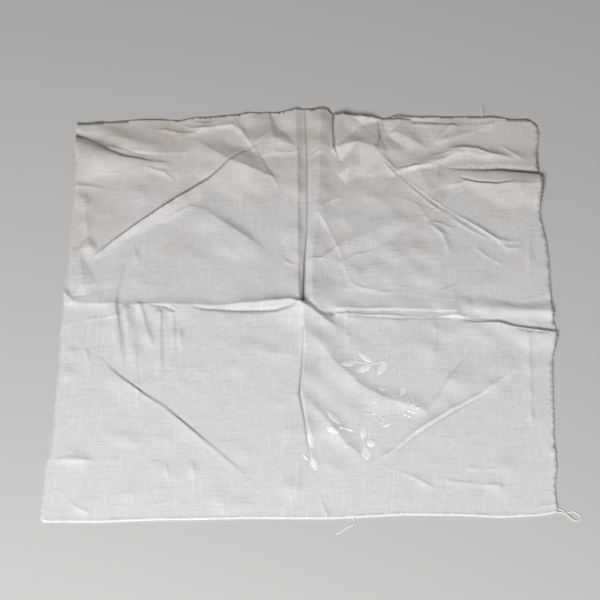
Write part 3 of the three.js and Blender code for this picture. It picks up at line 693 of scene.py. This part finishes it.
def cloth_thickness(x, y):
    """How thick the cloth is, with the rise of its hems, in millimetres."""
    front, right, back, left = hem_corners()
    bead = (distance_to_line(front, x, y) - ROLL_WIDTH) / ROLL_WIDTH
    rise = ROLL_RISE * np.exp(-bead * bead)
    turned = np.minimum.reduce([distance_to_line(side, x, y) for side in (right, back, left)])
    rise += TURNED_RISE / (1 + np.exp((turned - TURNED_WIDTH) / TURNED_EDGE))
    return CLOTH_THICKNESS + rise


def even_points(start, end, step):
    """Points from one place to just short of another, about a step apart."""
    span = math.hypot(end[0] - start[0], end[1] - start[1])
    steps = max(1, round(span / step))
    return [
        (start[0] + (end[0] - start[0]) * i / steps, start[1] + (end[1] - start[1]) * i / steps)
        for i in range(steps)
    ]


def hem_outline():
    """Points round the cloth, anticlockwise from its front left corner."""
    corners = [corner for side in hem_corners() for corner in side]
    outline = []
    for start, end in zip(corners, corners[1:] + corners[:1]):
        outline += even_points(start, end, HEM_STEP)
    return outline


def fold_marks():
    """Points along every fold and round every facet, about the finest step apart."""
    marks = []
    for fold in MAIN_FOLDS + SMALL_CREASES + SLITS:
        for start, end in zip(fold.points, fold.points[1:]):
            marks += even_points(start, end, FOLD_STEP)
        marks.append(fold.points[-1][:2])
    for crumple in CRUMPLES:
        for a, b, c in crumple_facets(crumple):
            for start, end in ((a, b), (b, c), (c, a)):
                marks += even_points(crumple.corners[start], crumple.corners[end], FOLD_STEP)
    return marks


def near_and_far(places, marks, bound):
    """The places that have a mark within bound of them, and the places that have none."""
    cells = {}
    for mark in marks:
        cell = (math.floor(mark[0] / bound), math.floor(mark[1] / bound))
        cells.setdefault(cell, []).append(mark)
    near = []
    far = []
    for x, y in places:
        column = math.floor(x / bound)
        row = math.floor(y / bound)
        cells_around = (
            cells.get((column + i, row + j), ()) for i in (-1, 0, 1) for j in (-1, 0, 1)
        )
        is_near = any(
            (mark[0] - x) ** 2 + (mark[1] - y) ** 2 < bound * bound
            for cell in cells_around for mark in cell
        )
        (near if is_near else far).append((x, y))
    return near, far


def grid_points(step):
    """Points in staggered rows over the whole cloth."""
    reach = CLOTH_SIDE / 2 + HEM_REACH
    points = []
    row = 0
    y = -reach
    while y < reach:
        x = -reach + (step / 2 if row % 2 else 0)
        while x < reach:
            points.append((x, y))
            x += step
        y += step * ROW_SHARE
        row += 1
    return points


def inside_hem(outline, places):
    """The places that lie inside the hem."""
    x, y = np.array(places).T
    inside = np.zeros(x.shape, bool)
    for (ax, ay), (bx, by) in zip(outline, outline[1:] + outline[:1]):
        if ay != by:
            crosses = (ay > y) != (by > y)
            inside ^= crosses & (x < (bx - ax) * (y - ay) / (by - ay) + ax)
    return [place for place, is_inside in zip(places, inside) if is_inside]


def cloth_points(outline):
    """Points inside the hem, closer together beside the folds and the front roll."""
    front_edge = -CLOTH_SIDE / 2 + FRONT_BAND
    marks = fold_marks() + [(x, y + ROLL_WIDTH) for x, y in outline if y < front_edge]
    chosen = []
    for step, inner, outer in (
        (OPEN_STEP, NEAR_FOLD, None),
        (NEAR_STEP, ON_FOLD, NEAR_FOLD),
        (FOLD_STEP, None, ON_FOLD),
    ):
        points = inside_hem(outline, grid_points(step))
        if outer:
            points, _ = near_and_far(points, marks, outer)
        if inner:
            _, points = near_and_far(points, marks, inner)
        chosen += points
    _, clear_of_hem = near_and_far(chosen, outline, HEM_STEP * HEM_CLEARANCE)
    return clear_of_hem


def shade_smooth(mesh):
    """Rounds the shading of every face."""
    for face in mesh.polygons:
        face.use_smooth = True


def new_piece(name, data):
    """A new piece of the scene, at the origin and unturned."""
    piece = bpy.data.objects.new(name, data)
    bpy.context.collection.objects.link(piece)
    return piece


def cloth_mesh(name):
    """The closed sheet: an upper face, an underside and the narrow wall of the hem."""
    outline = hem_outline()
    places = [Vector(point) for point in outline + cloth_points(outline)]
    rim = list(range(len(outline)))
    places, _, triangles, _, _, _ = delaunay_2d_cdt(places, [], [rim], 1, SAME_PLACE)
    x = np.array([place.x for place in places])
    y = np.array([place.y for place in places])
    under = cloth_lift(x, y)
    upper = under + cloth_thickness(x, y)
    count = len(places)
    vertices = [from_crossing(*place) for place in zip(x, y, upper)]
    vertices += [from_crossing(*place) for place in zip(x, y, under)]
    faces = [list(triangle) for triangle in triangles]
    faces += [[corner + count for corner in reversed(triangle)] for triangle in triangles]
    open_sides = {}
    for a, b, c in triangles:
        for start, end in ((a, b), (b, c), (c, a)):
            if (end, start) in open_sides:
                del open_sides[(end, start)]
            else:
                open_sides[(start, end)] = True
    faces += [[end, start, start + count, end + count] for start, end in open_sides]
    mesh = bpy.data.meshes.new(name)
    mesh.from_pydata(vertices, [], faces)
    mesh.update()

    weave = mesh.uv_layers.new(name="weave")
    corners = np.empty(len(mesh.loops), dtype=np.int32)
    mesh.loops.foreach_get("vertex_index", corners)
    u = np.concatenate([x, x]) / CLOTH_SIDE + 0.5
    v = np.concatenate([y, y]) / CLOTH_SIDE + 0.5
    corner_places = np.stack([u[corners], v[corners]], axis=1)
    weave.data.foreach_set("uv", corner_places.ravel().astype(np.float32))

    # Painted shade: how dark each crease gap is painted, kept on the points for the linen's colour.
    painted_gap_shade = mesh.attributes.new("painted_gap_shade", "FLOAT", "POINT")
    shade = painted_shade_in_gaps(x, y)
    painted_gap_shade.data.foreach_set("value", np.concatenate([shade, shade]).astype(np.float32))
    shade_smooth(mesh)
    return mesh


cloth = new_piece("linen_cloth", cloth_mesh("linen_cloth"))

# White linen, plain woven from flax yarn that was spun thick and thin: matt, with the thick
# stretches showing as short light and dark streaks along and across the cloth. Its yarns lie
# about half a millimetre apart, too close to show, so the finest streaks are drawn about twice
# as wide. Towards the back its colour turns a little darker and yellower. In the narrow gaps of
# the pressed creases, shade is painted into its colour as a dark grey.
LINEN_LIGHT = "e9e8e8"
LINEN_DARK = "c8c6c7"
LINEN_BACK_TONE = "ded7cc"
# Painted shade: the dark grey painted into the narrow gaps of the pressed creases.
LINEN_PAINTED_SHADE = "3a3836"
LINEN_ROUGHNESS = 0.92
LINEN_SHEEN = 0.12

# Thick stretches of yarn, fine yarns and cloudy patches, with their sizes in millimetres and the
# levels of the noise that count as none and as full.
SLUB_LENGTH = 19.0
SLUB_WIDTH = 1.5
SLUB_LEVELS = (0.56, 0.76)
FINE_LENGTH = 6.0
FINE_WIDTH = 1.0
FINE_LEVELS = (0.3, 0.7)
PATCH_SIZE = 34.0
PATCH_LEVELS = (0.35, 0.65)
STREAK_DETAIL = 2.0
STREAK_ROUGHNESS = 0.55

# How much each adds to the tone between the linen's dark and its light.
PLAIN_TONE = 0.5
DARK_SLUBS = 0.38
LIGHT_SLUBS = 0.26
FINE_YARN = 0.22

# The cloth turns darker and yellower from just in front of its middle, as shares of its side from
# the front, and its patches never fade below the least share.
BACK_TONE_FROM = 0.45
BACK_TONE_TO = 1.05
LEAST_BACK_TONE = 0.45

# The thick yarns stand out from the cloth by this much, in millimetres, at this strength.
YARN_BUMP = 0.35
YARN_DEPTH = 0.2


def linear(colour):
    """An sRGB hex colour, such as "dad9db", as the linear colour that a shader takes."""
    channels = [int(colour[i:i + 2], 16) / 255 for i in (0, 2, 4)]
    straight = [c / 12.92 if c <= 0.04045 else ((c + 0.055) / 1.055) ** 2.4 for c in channels]
    return (*straight, 1.0)


def new_material(name):
    """A new material with its shader."""
    material = bpy.data.materials.new(name)
    material.use_nodes = True
    return material


def set_inputs(material, node, inputs):
    """Gives a node's inputs their values, or links them."""
    for name, value in inputs.items():
        if isinstance(value, bpy.types.NodeSocket):
            material.node_tree.links.new(value, node.inputs[name])
        else:
            node.inputs[name].default_value = value


def add_node(material, kind, inputs=None, **settings):
    """Adds one node, with its settings, and with values or links for its inputs."""
    node = material.node_tree.nodes.new(kind)
    for name, value in settings.items():
        setattr(node, name, value)
    set_inputs(material, node, inputs or {})
    return node


def mixed(material, share, first, second, blend="MIX"):
    """Two colours mixed by a share."""
    return add_node(material, "ShaderNodeMix", {
        "Factor": share, 6: first, 7: second}, data_type="RGBA", blend_type=blend).outputs[2]


linen = new_material("plain-woven white linen")
weave_map = add_node(linen, "ShaderNodeUVMap", uv_map="weave").outputs["UV"]


def streaks(length, width, seed, levels):
    """Streaks of that length and width in millimetres; the seed picks a part of the noise."""
    place = add_node(linen, "ShaderNodeMapping", {
        "Vector": weave_map,
        "Location": (seed, seed, seed),
        "Scale": (CLOTH_SIDE / length, CLOTH_SIDE / width, 1)})
    noise = add_node(linen, "ShaderNodeTexNoise", {
        "Vector": place.outputs["Vector"],
        "Scale": 1.0,
        "Detail": STREAK_DETAIL,
        "Roughness": STREAK_ROUGHNESS})
    return add_node(linen, "ShaderNodeMapRange", {
        "Value": noise.outputs["Fac"],
        "From Min": levels[0],
        "From Max": levels[1]}).outputs["Result"]


def worked_out(operation, first, second):
    """One number of the linen worked out from two."""
    node = add_node(linen, "ShaderNodeMath", {0: first, 1: second}, operation=operation)
    return node.outputs["Value"]


dark_weft = streaks(SLUB_LENGTH, SLUB_WIDTH, 3.1, SLUB_LEVELS)
light_warp = streaks(SLUB_WIDTH, SLUB_LENGTH, 5.3, SLUB_LEVELS)
fine_weft = streaks(FINE_LENGTH, FINE_WIDTH, 8.7, FINE_LEVELS)
fine_warp = streaks(FINE_WIDTH, FINE_LENGTH, 1.9, FINE_LEVELS)
fine_yarn = worked_out("MULTIPLY", worked_out("SUBTRACT", fine_weft, fine_warp), FINE_YARN)
light = worked_out("ADD", worked_out("MULTIPLY", light_warp, LIGHT_SLUBS), PLAIN_TONE)
slubs = worked_out("SUBTRACT", light, worked_out("MULTIPLY", dark_weft, DARK_SLUBS))
yarn = worked_out("ADD", slubs, fine_yarn)
clean_colour = mixed(linen, yarn, linear(LINEN_DARK), linear(LINEN_LIGHT))

patches = streaks(PATCH_SIZE, PATCH_SIZE, 2.2, PATCH_LEVELS)
back_part = add_node(linen, "ShaderNodeSeparateXYZ", {"Vector": weave_map}).outputs["Y"]
# Darker and yellower towards the back: the colour is multiplied by a warm grey there, in patches.
back_tone = add_node(linen, "ShaderNodeMapRange", {
    "Value": back_part, "From Min": BACK_TONE_FROM, "From Max": BACK_TONE_TO}).outputs["Result"]
back_tone_share = worked_out("MULTIPLY", back_tone, worked_out("MAXIMUM", patches, LEAST_BACK_TONE))
back_toned_colour = mixed(linen, back_tone_share, clean_colour, linear(LINEN_BACK_TONE), "MULTIPLY")
# Painted shade: the linen's colour is mixed towards dark grey in the crease gaps.
painted_shade_share = add_node(linen, "ShaderNodeAttribute", attribute_name="painted_gap_shade").outputs["Fac"]
yarn_bump = add_node(linen, "ShaderNodeBump", {
    "Height": yarn, "Strength": YARN_BUMP, "Distance": YARN_DEPTH * MM})
set_inputs(linen, linen.node_tree.nodes["Principled BSDF"], {
    "Base Color": mixed(linen, painted_shade_share, back_toned_colour, linear(LINEN_PAINTED_SHADE)),
    "Normal": yarn_bump.outputs["Normal"],
    "Roughness": LINEN_ROUGHNESS,
    "Sheen Weight": LINEN_SHEEN})
cloth.data.materials.append(linen)

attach(cloth, "root")
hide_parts("handkerchief")

# Frayed edge. Along three sides the turned hem has worn through, and the ends of its yarns
# stand out as a row of tiny teeth, a little warmer in tone than the cloth. Each tooth is a
# narrow spike that starts inside the hem.
TOOTH_PITCH = 1.35
TOOTH_LENGTHS = (0.5, 1.5)
TOOTH_WIDTHS = (0.45, 0.95)
TOOTH_DROOPS = (-0.2, 0.25)
TOOTH_THICKNESS = 0.3
TOOTH_ROOT = 0.4
TOOTH_SPLAY = 0.5
TOOTH_CLEARANCE = 0.02
TOOTH_SEED = 11

tooth_random = random.Random(TOOTH_SEED)
tooth_roots = []
for side in hem_corners()[1:]:
    for (ax, ay), (bx, by) in zip(side, side[1:]):
        span = math.hypot(bx - ax, by - ay)
        square_out = math.atan2(-(bx - ax), by - ay)
        for i in range(round(span / TOOTH_PITCH)):
            share = (i + tooth_random.uniform(0, 1)) * TOOTH_PITCH / span
            outward = square_out + tooth_random.uniform(-TOOTH_SPLAY, TOOTH_SPLAY)
            tooth_roots.append((ax + (bx - ax) * share, ay + (by - ay) * share, outward))
root_x = np.array([root[0] for root in tooth_roots])
root_y = np.array([root[1] for root in tooth_roots])
root_lift = cloth_lift(root_x, root_y) + CLOTH_THICKNESS / 2

tooth_vertices = []
tooth_faces = []
for (x, y, outward), lift in zip(tooth_roots, root_lift):
    length = tooth_random.uniform(*TOOTH_LENGTHS)
    width = tooth_random.uniform(*TOOTH_WIDTHS)
    droop = min(lift - TOOTH_CLEARANCE, tooth_random.uniform(*TOOTH_DROOPS))
    out = Vector((math.cos(outward), math.sin(outward), 0))
    along = Vector((-out.y, out.x, 0)) * width / 2
    rise = Vector((0, 0, TOOTH_THICKNESS / 2))
    root = Vector((x, y, lift)) - out * TOOTH_ROOT
    tip = Vector((x, y, lift - droop)) + out * length
    first = len(tooth_vertices)
    tooth_vertices += [root - along - rise, root + along - rise]
    tooth_vertices += [root + along + rise, root - along + rise, tip]
    for face in ((0, 1, 2, 3), (0, 4, 1), (1, 4, 2), (2, 4, 3), (3, 4, 0)):
        tooth_faces.append([first + corner for corner in face])
tooth_mesh = bpy.data.meshes.new("frayed_edge")
tooth_mesh.from_pydata([from_crossing(*vertex) for vertex in tooth_vertices], [], tooth_faces)
frayed_edge = new_piece("frayed_edge", tooth_mesh)

# Loose flax yarn ends, unspun and fuzzy: matt, and warmer than the bleached face of the cloth.
# Flecks a little over a millimetre wide give each tooth a tone of its own.
TOOTH_COLOUR = "d9ccc6"
TOOTH_FLECK = 1.11
TOOTH_ROUGHNESS = 0.95
FLECK_DETAIL = 2.0


def flecks(material, size, dark, light):
    """A noise with flecks of that size in millimetres, and the colour that it gives."""
    place = add_node(material, "ShaderNodeTexCoord").outputs["Object"]
    noise = add_node(material, "ShaderNodeTexNoise", {
        "Vector": place, "Scale": 1 / (size * MM), "Detail": FLECK_DETAIL}).outputs["Fac"]
    return noise, mixed(material, noise, linear(dark), linear(light))


frayed_yarn = new_material("frayed flax yarn")
_, tooth_colour = flecks(frayed_yarn, TOOTH_FLECK, TOOTH_COLOUR, LINEN_LIGHT)
set_inputs(frayed_yarn, frayed_yarn.node_tree.nodes["Principled BSDF"], {
    "Base Color": tooth_colour,
    "Roughness": TOOTH_ROUGHNESS})
frayed_edge.data.materials.append(frayed_yarn)

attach(frayed_edge, "root")

# Embroidery. Leaves, berries and stems are worked by hand in white cotton, in satin stitch
# over a padding, so they stand up from the cloth and catch the light. A small outlined flower
# fills the middle of the wreath. Each leaf is a row of its name, stem end, tip and width.
LEAVES = [
    ("upper spray, left", (32, -40), (22, -42.5), 6.6),
    ("upper spray, top", (42, -40.5), (33, -33), 5.2),
    ("upper spray, low", (41, -42.5), (31.5, -48), 5.6),
    ("upper spray, right", (50.5, -39), (45, -50), 5.4),
    ("side spray", (61.5, -57.5), (58.5, -65.5), 3.8),
    ("lower left spray, back", (22.5, -86), (14, -75.5), 5.4),
    ("lower left spray, front", (21.5, -92.5), (13.5, -88), 5.2),
    ("lower middle spray, back", (35.2, -96), (37, -86.5), 4.4),
    ("lower middle spray, front", (36.5, -101), (38.5, -111), 6.4),
    ("faint leaf", (47, -87), (53, -84.5), 2.2),
    ("faint leaf, lower left", (24, -88), (30.5, -90.5), 2.2),
    ("beside the crease, back", (4, -90.5), (5.5, -102.5), 4.8),
    ("beside the crease, middle", (0, -106.5), (3, -111), 2.4),
    ("beside the crease, front", (5.5, -108.5), (8, -118.5), 5),
]
STEMS = [
    ((31.5, -40.5), (40.5, -42), (49, -40)),
    ((23.5, -87), (19, -93)),
    ((35.5, -95.5), (36.5, -99), (37, -102.5)),
    ((3.5, -87), (4.5, -91), (4.5, -103), (5.5, -109.5)),
]
FAINT_STEMS = [
    ((63.5, -62.5), (66, -68), (67.5, -75)),
    ((61, -59), (62.5, -67), (64.5, -73)),
]
# Each berry, and the star, is its middle and its radius.
BERRIES = [
    (65.5, -72, 0.85), (68.5, -74, 1.0), (63.5, -76, 0.9), (61, -78.5, 0.85),
    (63.2, -79.4, 0.9), (66, -77, 0.9), (23, -88, 1.3), (40.5, -98.7, 2.7),
]
STAR = (47.7, -60.3, 2.3)
STAR_ARMS = 5

MIDDLE_FLOWER = (43, -78)
PETALS = 5
PETAL_LENGTH = 8
PETAL_STEPS = 12
PETAL_SPREAD = 1.1
PETAL_BLUNTNESS = 0.6
FLOWER_TURN = 0.3

# A leaf is widest a little before its middle, and its edge is sunk into the cloth. Real
# stitches lie about 0.4 mm apart, and are drawn at twice that so that they show.
LEAF_HEIGHT = 0.38
LEAF_SUNK = 0.12
LEAF_COLUMNS = 30
LEAF_ROWS = 8
LEAF_LEAN = 0.9
LEAF_BLUNTNESS = 0.8
LEAF_LEAST = 0.04
STITCH_PITCH = 0.85
STITCH_RELIEF = 0.07
STITCH_SLANT = 0.35
LEAF_THICKNESS = 0.2

# A berry is a flattened ball, half in the cloth. Its height is a share of its radius, up to a
# limit.
BERRY_RISE = 0.45
BERRY_TALLEST = 0.4
BERRY_SUNK = 0.05
BERRY_SEGMENTS = 16
BERRY_RINGS = 8

STEM_RADIUS = 0.18
FAINT_RADIUS = 0.13
STEM_STEP = 0.7


def on_cloth(x, y):
    """The height of the cloth's upper face at these places, in millimetres."""
    return cloth_lift(x, y) + CLOTH_THICKNESS


def place_on_cloth(piece, x, y, above):
    """Puts the piece's vertices at these places, this far above the cloth's upper face."""
    for vertex, *place in zip(piece.data.vertices, x, y, on_cloth(x, y) + above):
        vertex.co = from_crossing(*place)


def close_underneath(piece):
    """Gives an open stitched face an underside, so that it is a closed form."""
    solidify = piece.modifiers.new("underside", "SOLIDIFY")
    solidify.thickness = LEAF_THICKNESS * MM
    solidify.offset = -1
    bpy.context.view_layer.objects.active = piece
    bpy.ops.object.modifier_apply(modifier="underside")


def satin_leaf(stem_end, tip, width):
    """One padded leaf, with its slanting stitches as fine ridges."""
    bpy.ops.mesh.primitive_grid_add(x_subdivisions=LEAF_COLUMNS, y_subdivisions=LEAF_ROWS, size=2)
    leaf = bpy.context.object
    flat = np.array([vertex.co[:2] for vertex in leaf.data.vertices])
    share = (flat[:, 0] + 1) / 2
    across = flat[:, 1]
    length = math.hypot(tip[0] - stem_end[0], tip[1] - stem_end[1])
    dx = (tip[0] - stem_end[0]) / length
    dy = (tip[1] - stem_end[1]) / length
    outline = np.sin(math.pi * share ** LEAF_LEAN) ** LEAF_BLUNTNESS
    half_width = width / 2 * np.maximum(outline, LEAF_LEAST)
    x = stem_end[0] + dx * length * share - dy * across * half_width
    y = stem_end[1] + dy * length * share + dx * across * half_width
    crown = LEAF_HEIGHT * np.sqrt(np.maximum(1 - across ** 2, 0)) * np.maximum(outline, 0) ** 0.5
    slanted = share * length + STITCH_SLANT * width * np.abs(across)
    stitches = STITCH_RELIEF * np.cos(2 * math.pi * slanted / STITCH_PITCH)
    place_on_cloth(leaf, x, y, crown + stitches * (1 - across ** 2) - LEAF_SUNK)
    close_underneath(leaf)
    return leaf


def satin_berry(x_middle, y_middle, radius):
    """One padded dot."""
    bpy.ops.mesh.primitive_uv_sphere_add(segments=BERRY_SEGMENTS, ring_count=BERRY_RINGS, radius=1)
    berry = bpy.context.object
    ball = np.array([vertex.co for vertex in berry.data.vertices])
    height = min(BERRY_TALLEST, radius * BERRY_RISE)
    place_on_cloth(
        berry, x_middle + ball[:, 0] * radius, y_middle + ball[:, 1] * radius,
        ball[:, 2] * height - BERRY_SUNK)
    return berry


def as_mesh(line):
    """Turns a round line into a mesh."""
    bpy.ops.object.select_all(action="DESELECT")
    line.select_set(True)
    bpy.context.view_layer.objects.active = line
    bpy.ops.object.convert(target="MESH")
    return bpy.context.object


def stitched_line(points, radius):
    """A line of stem stitch that follows the cloth through these places."""
    x = np.array([point[0] for point in points], float)
    y = np.array([point[1] for point in points], float)
    walked = np.concatenate([[0], np.cumsum(np.hypot(np.diff(x), np.diff(y)))])
    steps = np.linspace(0, walked[-1], max(3, round(walked[-1] / STEM_STEP)))
    x = np.interp(steps, walked, x)
    y = np.interp(steps, walked, y)
    curve = bpy.data.curves.new("stitches", "CURVE")
    curve.dimensions = "3D"
    spline = curve.splines.new("POLY")
    spline.points.add(len(x) - 1)
    for point, *place in zip(spline.points, x, y, on_cloth(x, y) + radius / 2):
        point.co = (*from_crossing(*place), 1)
    curve.bevel_depth = radius * MM
    curve.bevel_resolution = 1
    curve.use_fill_caps = True
    return as_mesh(new_piece("stitches", curve))


def joined(pieces, name):
    """Joins pieces into one, names it and rounds its shading."""
    bpy.ops.object.select_all(action="DESELECT")
    for piece in pieces:
        piece.select_set(True)
    bpy.context.view_layer.objects.active = pieces[0]
    bpy.ops.object.join()
    whole = bpy.context.object
    whole.name = name
    whole.data.name = name
    bpy.ops.object.transform_apply(location=True, rotation=True, scale=True)
    shade_smooth(whole.data)
    whole.data.materials.clear()
    return whole


stitched = [satin_leaf(stem_end, tip, width) for _, stem_end, tip, width in LEAVES]
stitched += [satin_berry(*berry) for berry in BERRIES]
stitched += [stitched_line(stem, STEM_RADIUS) for stem in STEMS]
stitched += [stitched_line(stem, FAINT_RADIUS) for stem in FAINT_STEMS]
for i in range(STAR_ARMS):
    angle = math.radians(90 + 360 / STAR_ARMS * i)
    arm_tip = (STAR[0] + STAR[2] * math.cos(angle), STAR[1] + STAR[2] * math.sin(angle))
    stitched.append(stitched_line((STAR[:2], arm_tip), STEM_RADIUS))
for i in range(PETALS):
    middle = 2 * math.pi * i / PETALS + FLOWER_TURN
    petal = []
    for j in range(PETAL_STEPS + 1):
        heading = middle + (j / PETAL_STEPS - 0.5) * PETAL_SPREAD
        reach = PETAL_LENGTH * math.sin(math.pi * j / PETAL_STEPS) ** PETAL_BLUNTNESS
        petal.append((
            MIDDLE_FLOWER[0] + reach * math.cos(heading),
            MIDDLE_FLOWER[1] + reach * math.sin(heading)))
    stitched.append(stitched_line(petal, FAINT_RADIUS))
embroidery = joined(stitched, "white_embroidery")

# Soft white mercerised cotton, laid as close parallel stitches: whiter than the linen, with a
# faint silky shine. Flecks about as large as a drawn stitch break up its white.
COTTON_WHITE = "f5f4f2"
COTTON_SHADE = "e8e6e4"
COTTON_FLECK = 0.91
COTTON_ROUGHNESS = 0.6
COTTON_SHEEN = 0.2
COTTON_BUMP = 0.3
COTTON_DEPTH = 0.1

cotton = new_material("white cotton satin stitch")
cotton_noise, cotton_colour = flecks(cotton, COTTON_FLECK, COTTON_SHADE, COTTON_WHITE)
cotton_bump = add_node(cotton, "ShaderNodeBump", {
    "Height": cotton_noise, "Strength": COTTON_BUMP, "Distance": COTTON_DEPTH * MM})
set_inputs(cotton, cotton.node_tree.nodes["Principled BSDF"], {
    "Base Color": cotton_colour,
    "Normal": cotton_bump.outputs["Normal"],
    "Roughness": COTTON_ROUGHNESS,
    "Sheen Weight": COTTON_SHEEN})
embroidery.data.materials.append(cotton)

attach(embroidery, "root")

# Loose threads. The sewing thread of the front hem has come undone at two places: a curled
# loop beyond the front right corner, and a short end past the middle of the front hem. They
# lie on the floor. A single yarn end stands out of the back hem. Each point is x, y and height.
CORNER_LOOP = [
    (147.5, -144, 0.5), (149, -144, 0.5), (151, -144.5, 0.24), (152.5, -146.5, 0.24),
    (154, -148.5, 0.74), (156, -150.5, 0.74), (159, -152.5, 0.24), (161, -151.5, 0.24),
    (162, -149.5, 0.24), (160.5, -147.5, 0.24), (157.5, -145.5, 0.24), (155.5, -146, 0.24),
    (153, -147, 0.24), (150, -146.5, 0.5), (148, -146, 0.5),
]
HEM_END = [
    (29, -149, 0.5), (29, -151, 0.24), (30, -152, 0.24), (30.5, -153.5, 0.24),
    (29.5, -155, 0.74), (27.5, -156.5, 0.74), (24.5, -158, 0.24), (22.5, -160, 0.24),
    (21, -161, 0.24), (19.5, -161.5, 0.24),
]
BACK_END = [(114, 151, 3.64), (114, 155, 3.64), (113.5, 158.5, 3.64)]
THREAD_RADIUS = 0.24

threads = []
for route in (CORNER_LOOP, HEM_END, BACK_END):
    bpy.ops.curve.primitive_nurbs_path_add()
    thread = bpy.context.object
    thread.data.splines.clear()
    spline = thread.data.splines.new("NURBS")
    spline.points.add(len(route) - 1)
    for point, place in zip(spline.points, route):
        point.co = (*from_crossing(*place), 1)
    spline.order_u = 3
    spline.use_endpoint_u = True
    spline.resolution_u = 6
    thread.data.bevel_depth = THREAD_RADIUS * MM
    thread.data.bevel_resolution = 2
    thread.data.use_fill_caps = True
    threads.append(as_mesh(thread))
loose_threads = joined(threads, "loose_threads")
loose_threads.data.materials.append(cotton)

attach(loose_threads, "root")

# Floor. A plain pale sheet that the cloth lies on, wide enough to fill the view.
FLOOR_SIDE = 12.0
FLOOR_GREY = "c6c5c3"
FLOOR_ROUGHNESS = 0.95

bpy.ops.mesh.primitive_plane_add(size=FLOOR_SIDE, location=(0, 0, 0))
floor = bpy.context.object
floor.name = "floor"
floor_paint = new_material("matt pale floor")
set_inputs(floor_paint, floor_paint.node_tree.nodes["Principled BSDF"], {
    "Base Color": linear(FLOOR_GREY),
    "Roughness": FLOOR_ROUGHNESS})
floor.data.materials.append(floor_paint)

# Light. One soft lamp stands low in front of the cloth, so each fold has a bright side towards
# it and a dark side away from it, and a dim even light fills the shadows.
KEY_HEIGHT = 35.0
KEY_TURN = 18.0
KEY_DISTANCE = 1.6
KEY_SIZE = 0.6
KEY_POWER = 31
FILL_STRENGTH = 0.18

key_reach = KEY_DISTANCE * math.cos(math.radians(KEY_HEIGHT))
bpy.ops.object.light_add(
    type="AREA",
    location=(
        -key_reach * math.sin(math.radians(KEY_TURN)),
        -key_reach * math.cos(math.radians(KEY_TURN)),
        KEY_DISTANCE * math.sin(math.radians(KEY_HEIGHT)),
    ),
    rotation=(math.radians(90 - KEY_HEIGHT), 0, math.radians(-KEY_TURN)),
)
key_lamp = bpy.context.object
key_lamp.data.size = KEY_SIZE
key_lamp.data.energy = KEY_POWER

world = bpy.data.worlds.new("studio")
bpy.context.scene.world = world
world.use_nodes = True
world.node_tree.nodes["Background"].inputs["Color"].default_value = (1, 1, 1, 1)
world.node_tree.nodes["Background"].inputs["Strength"].default_value = FILL_STRENGTH

bpy.context.scene.view_settings.view_transform = "Standard"
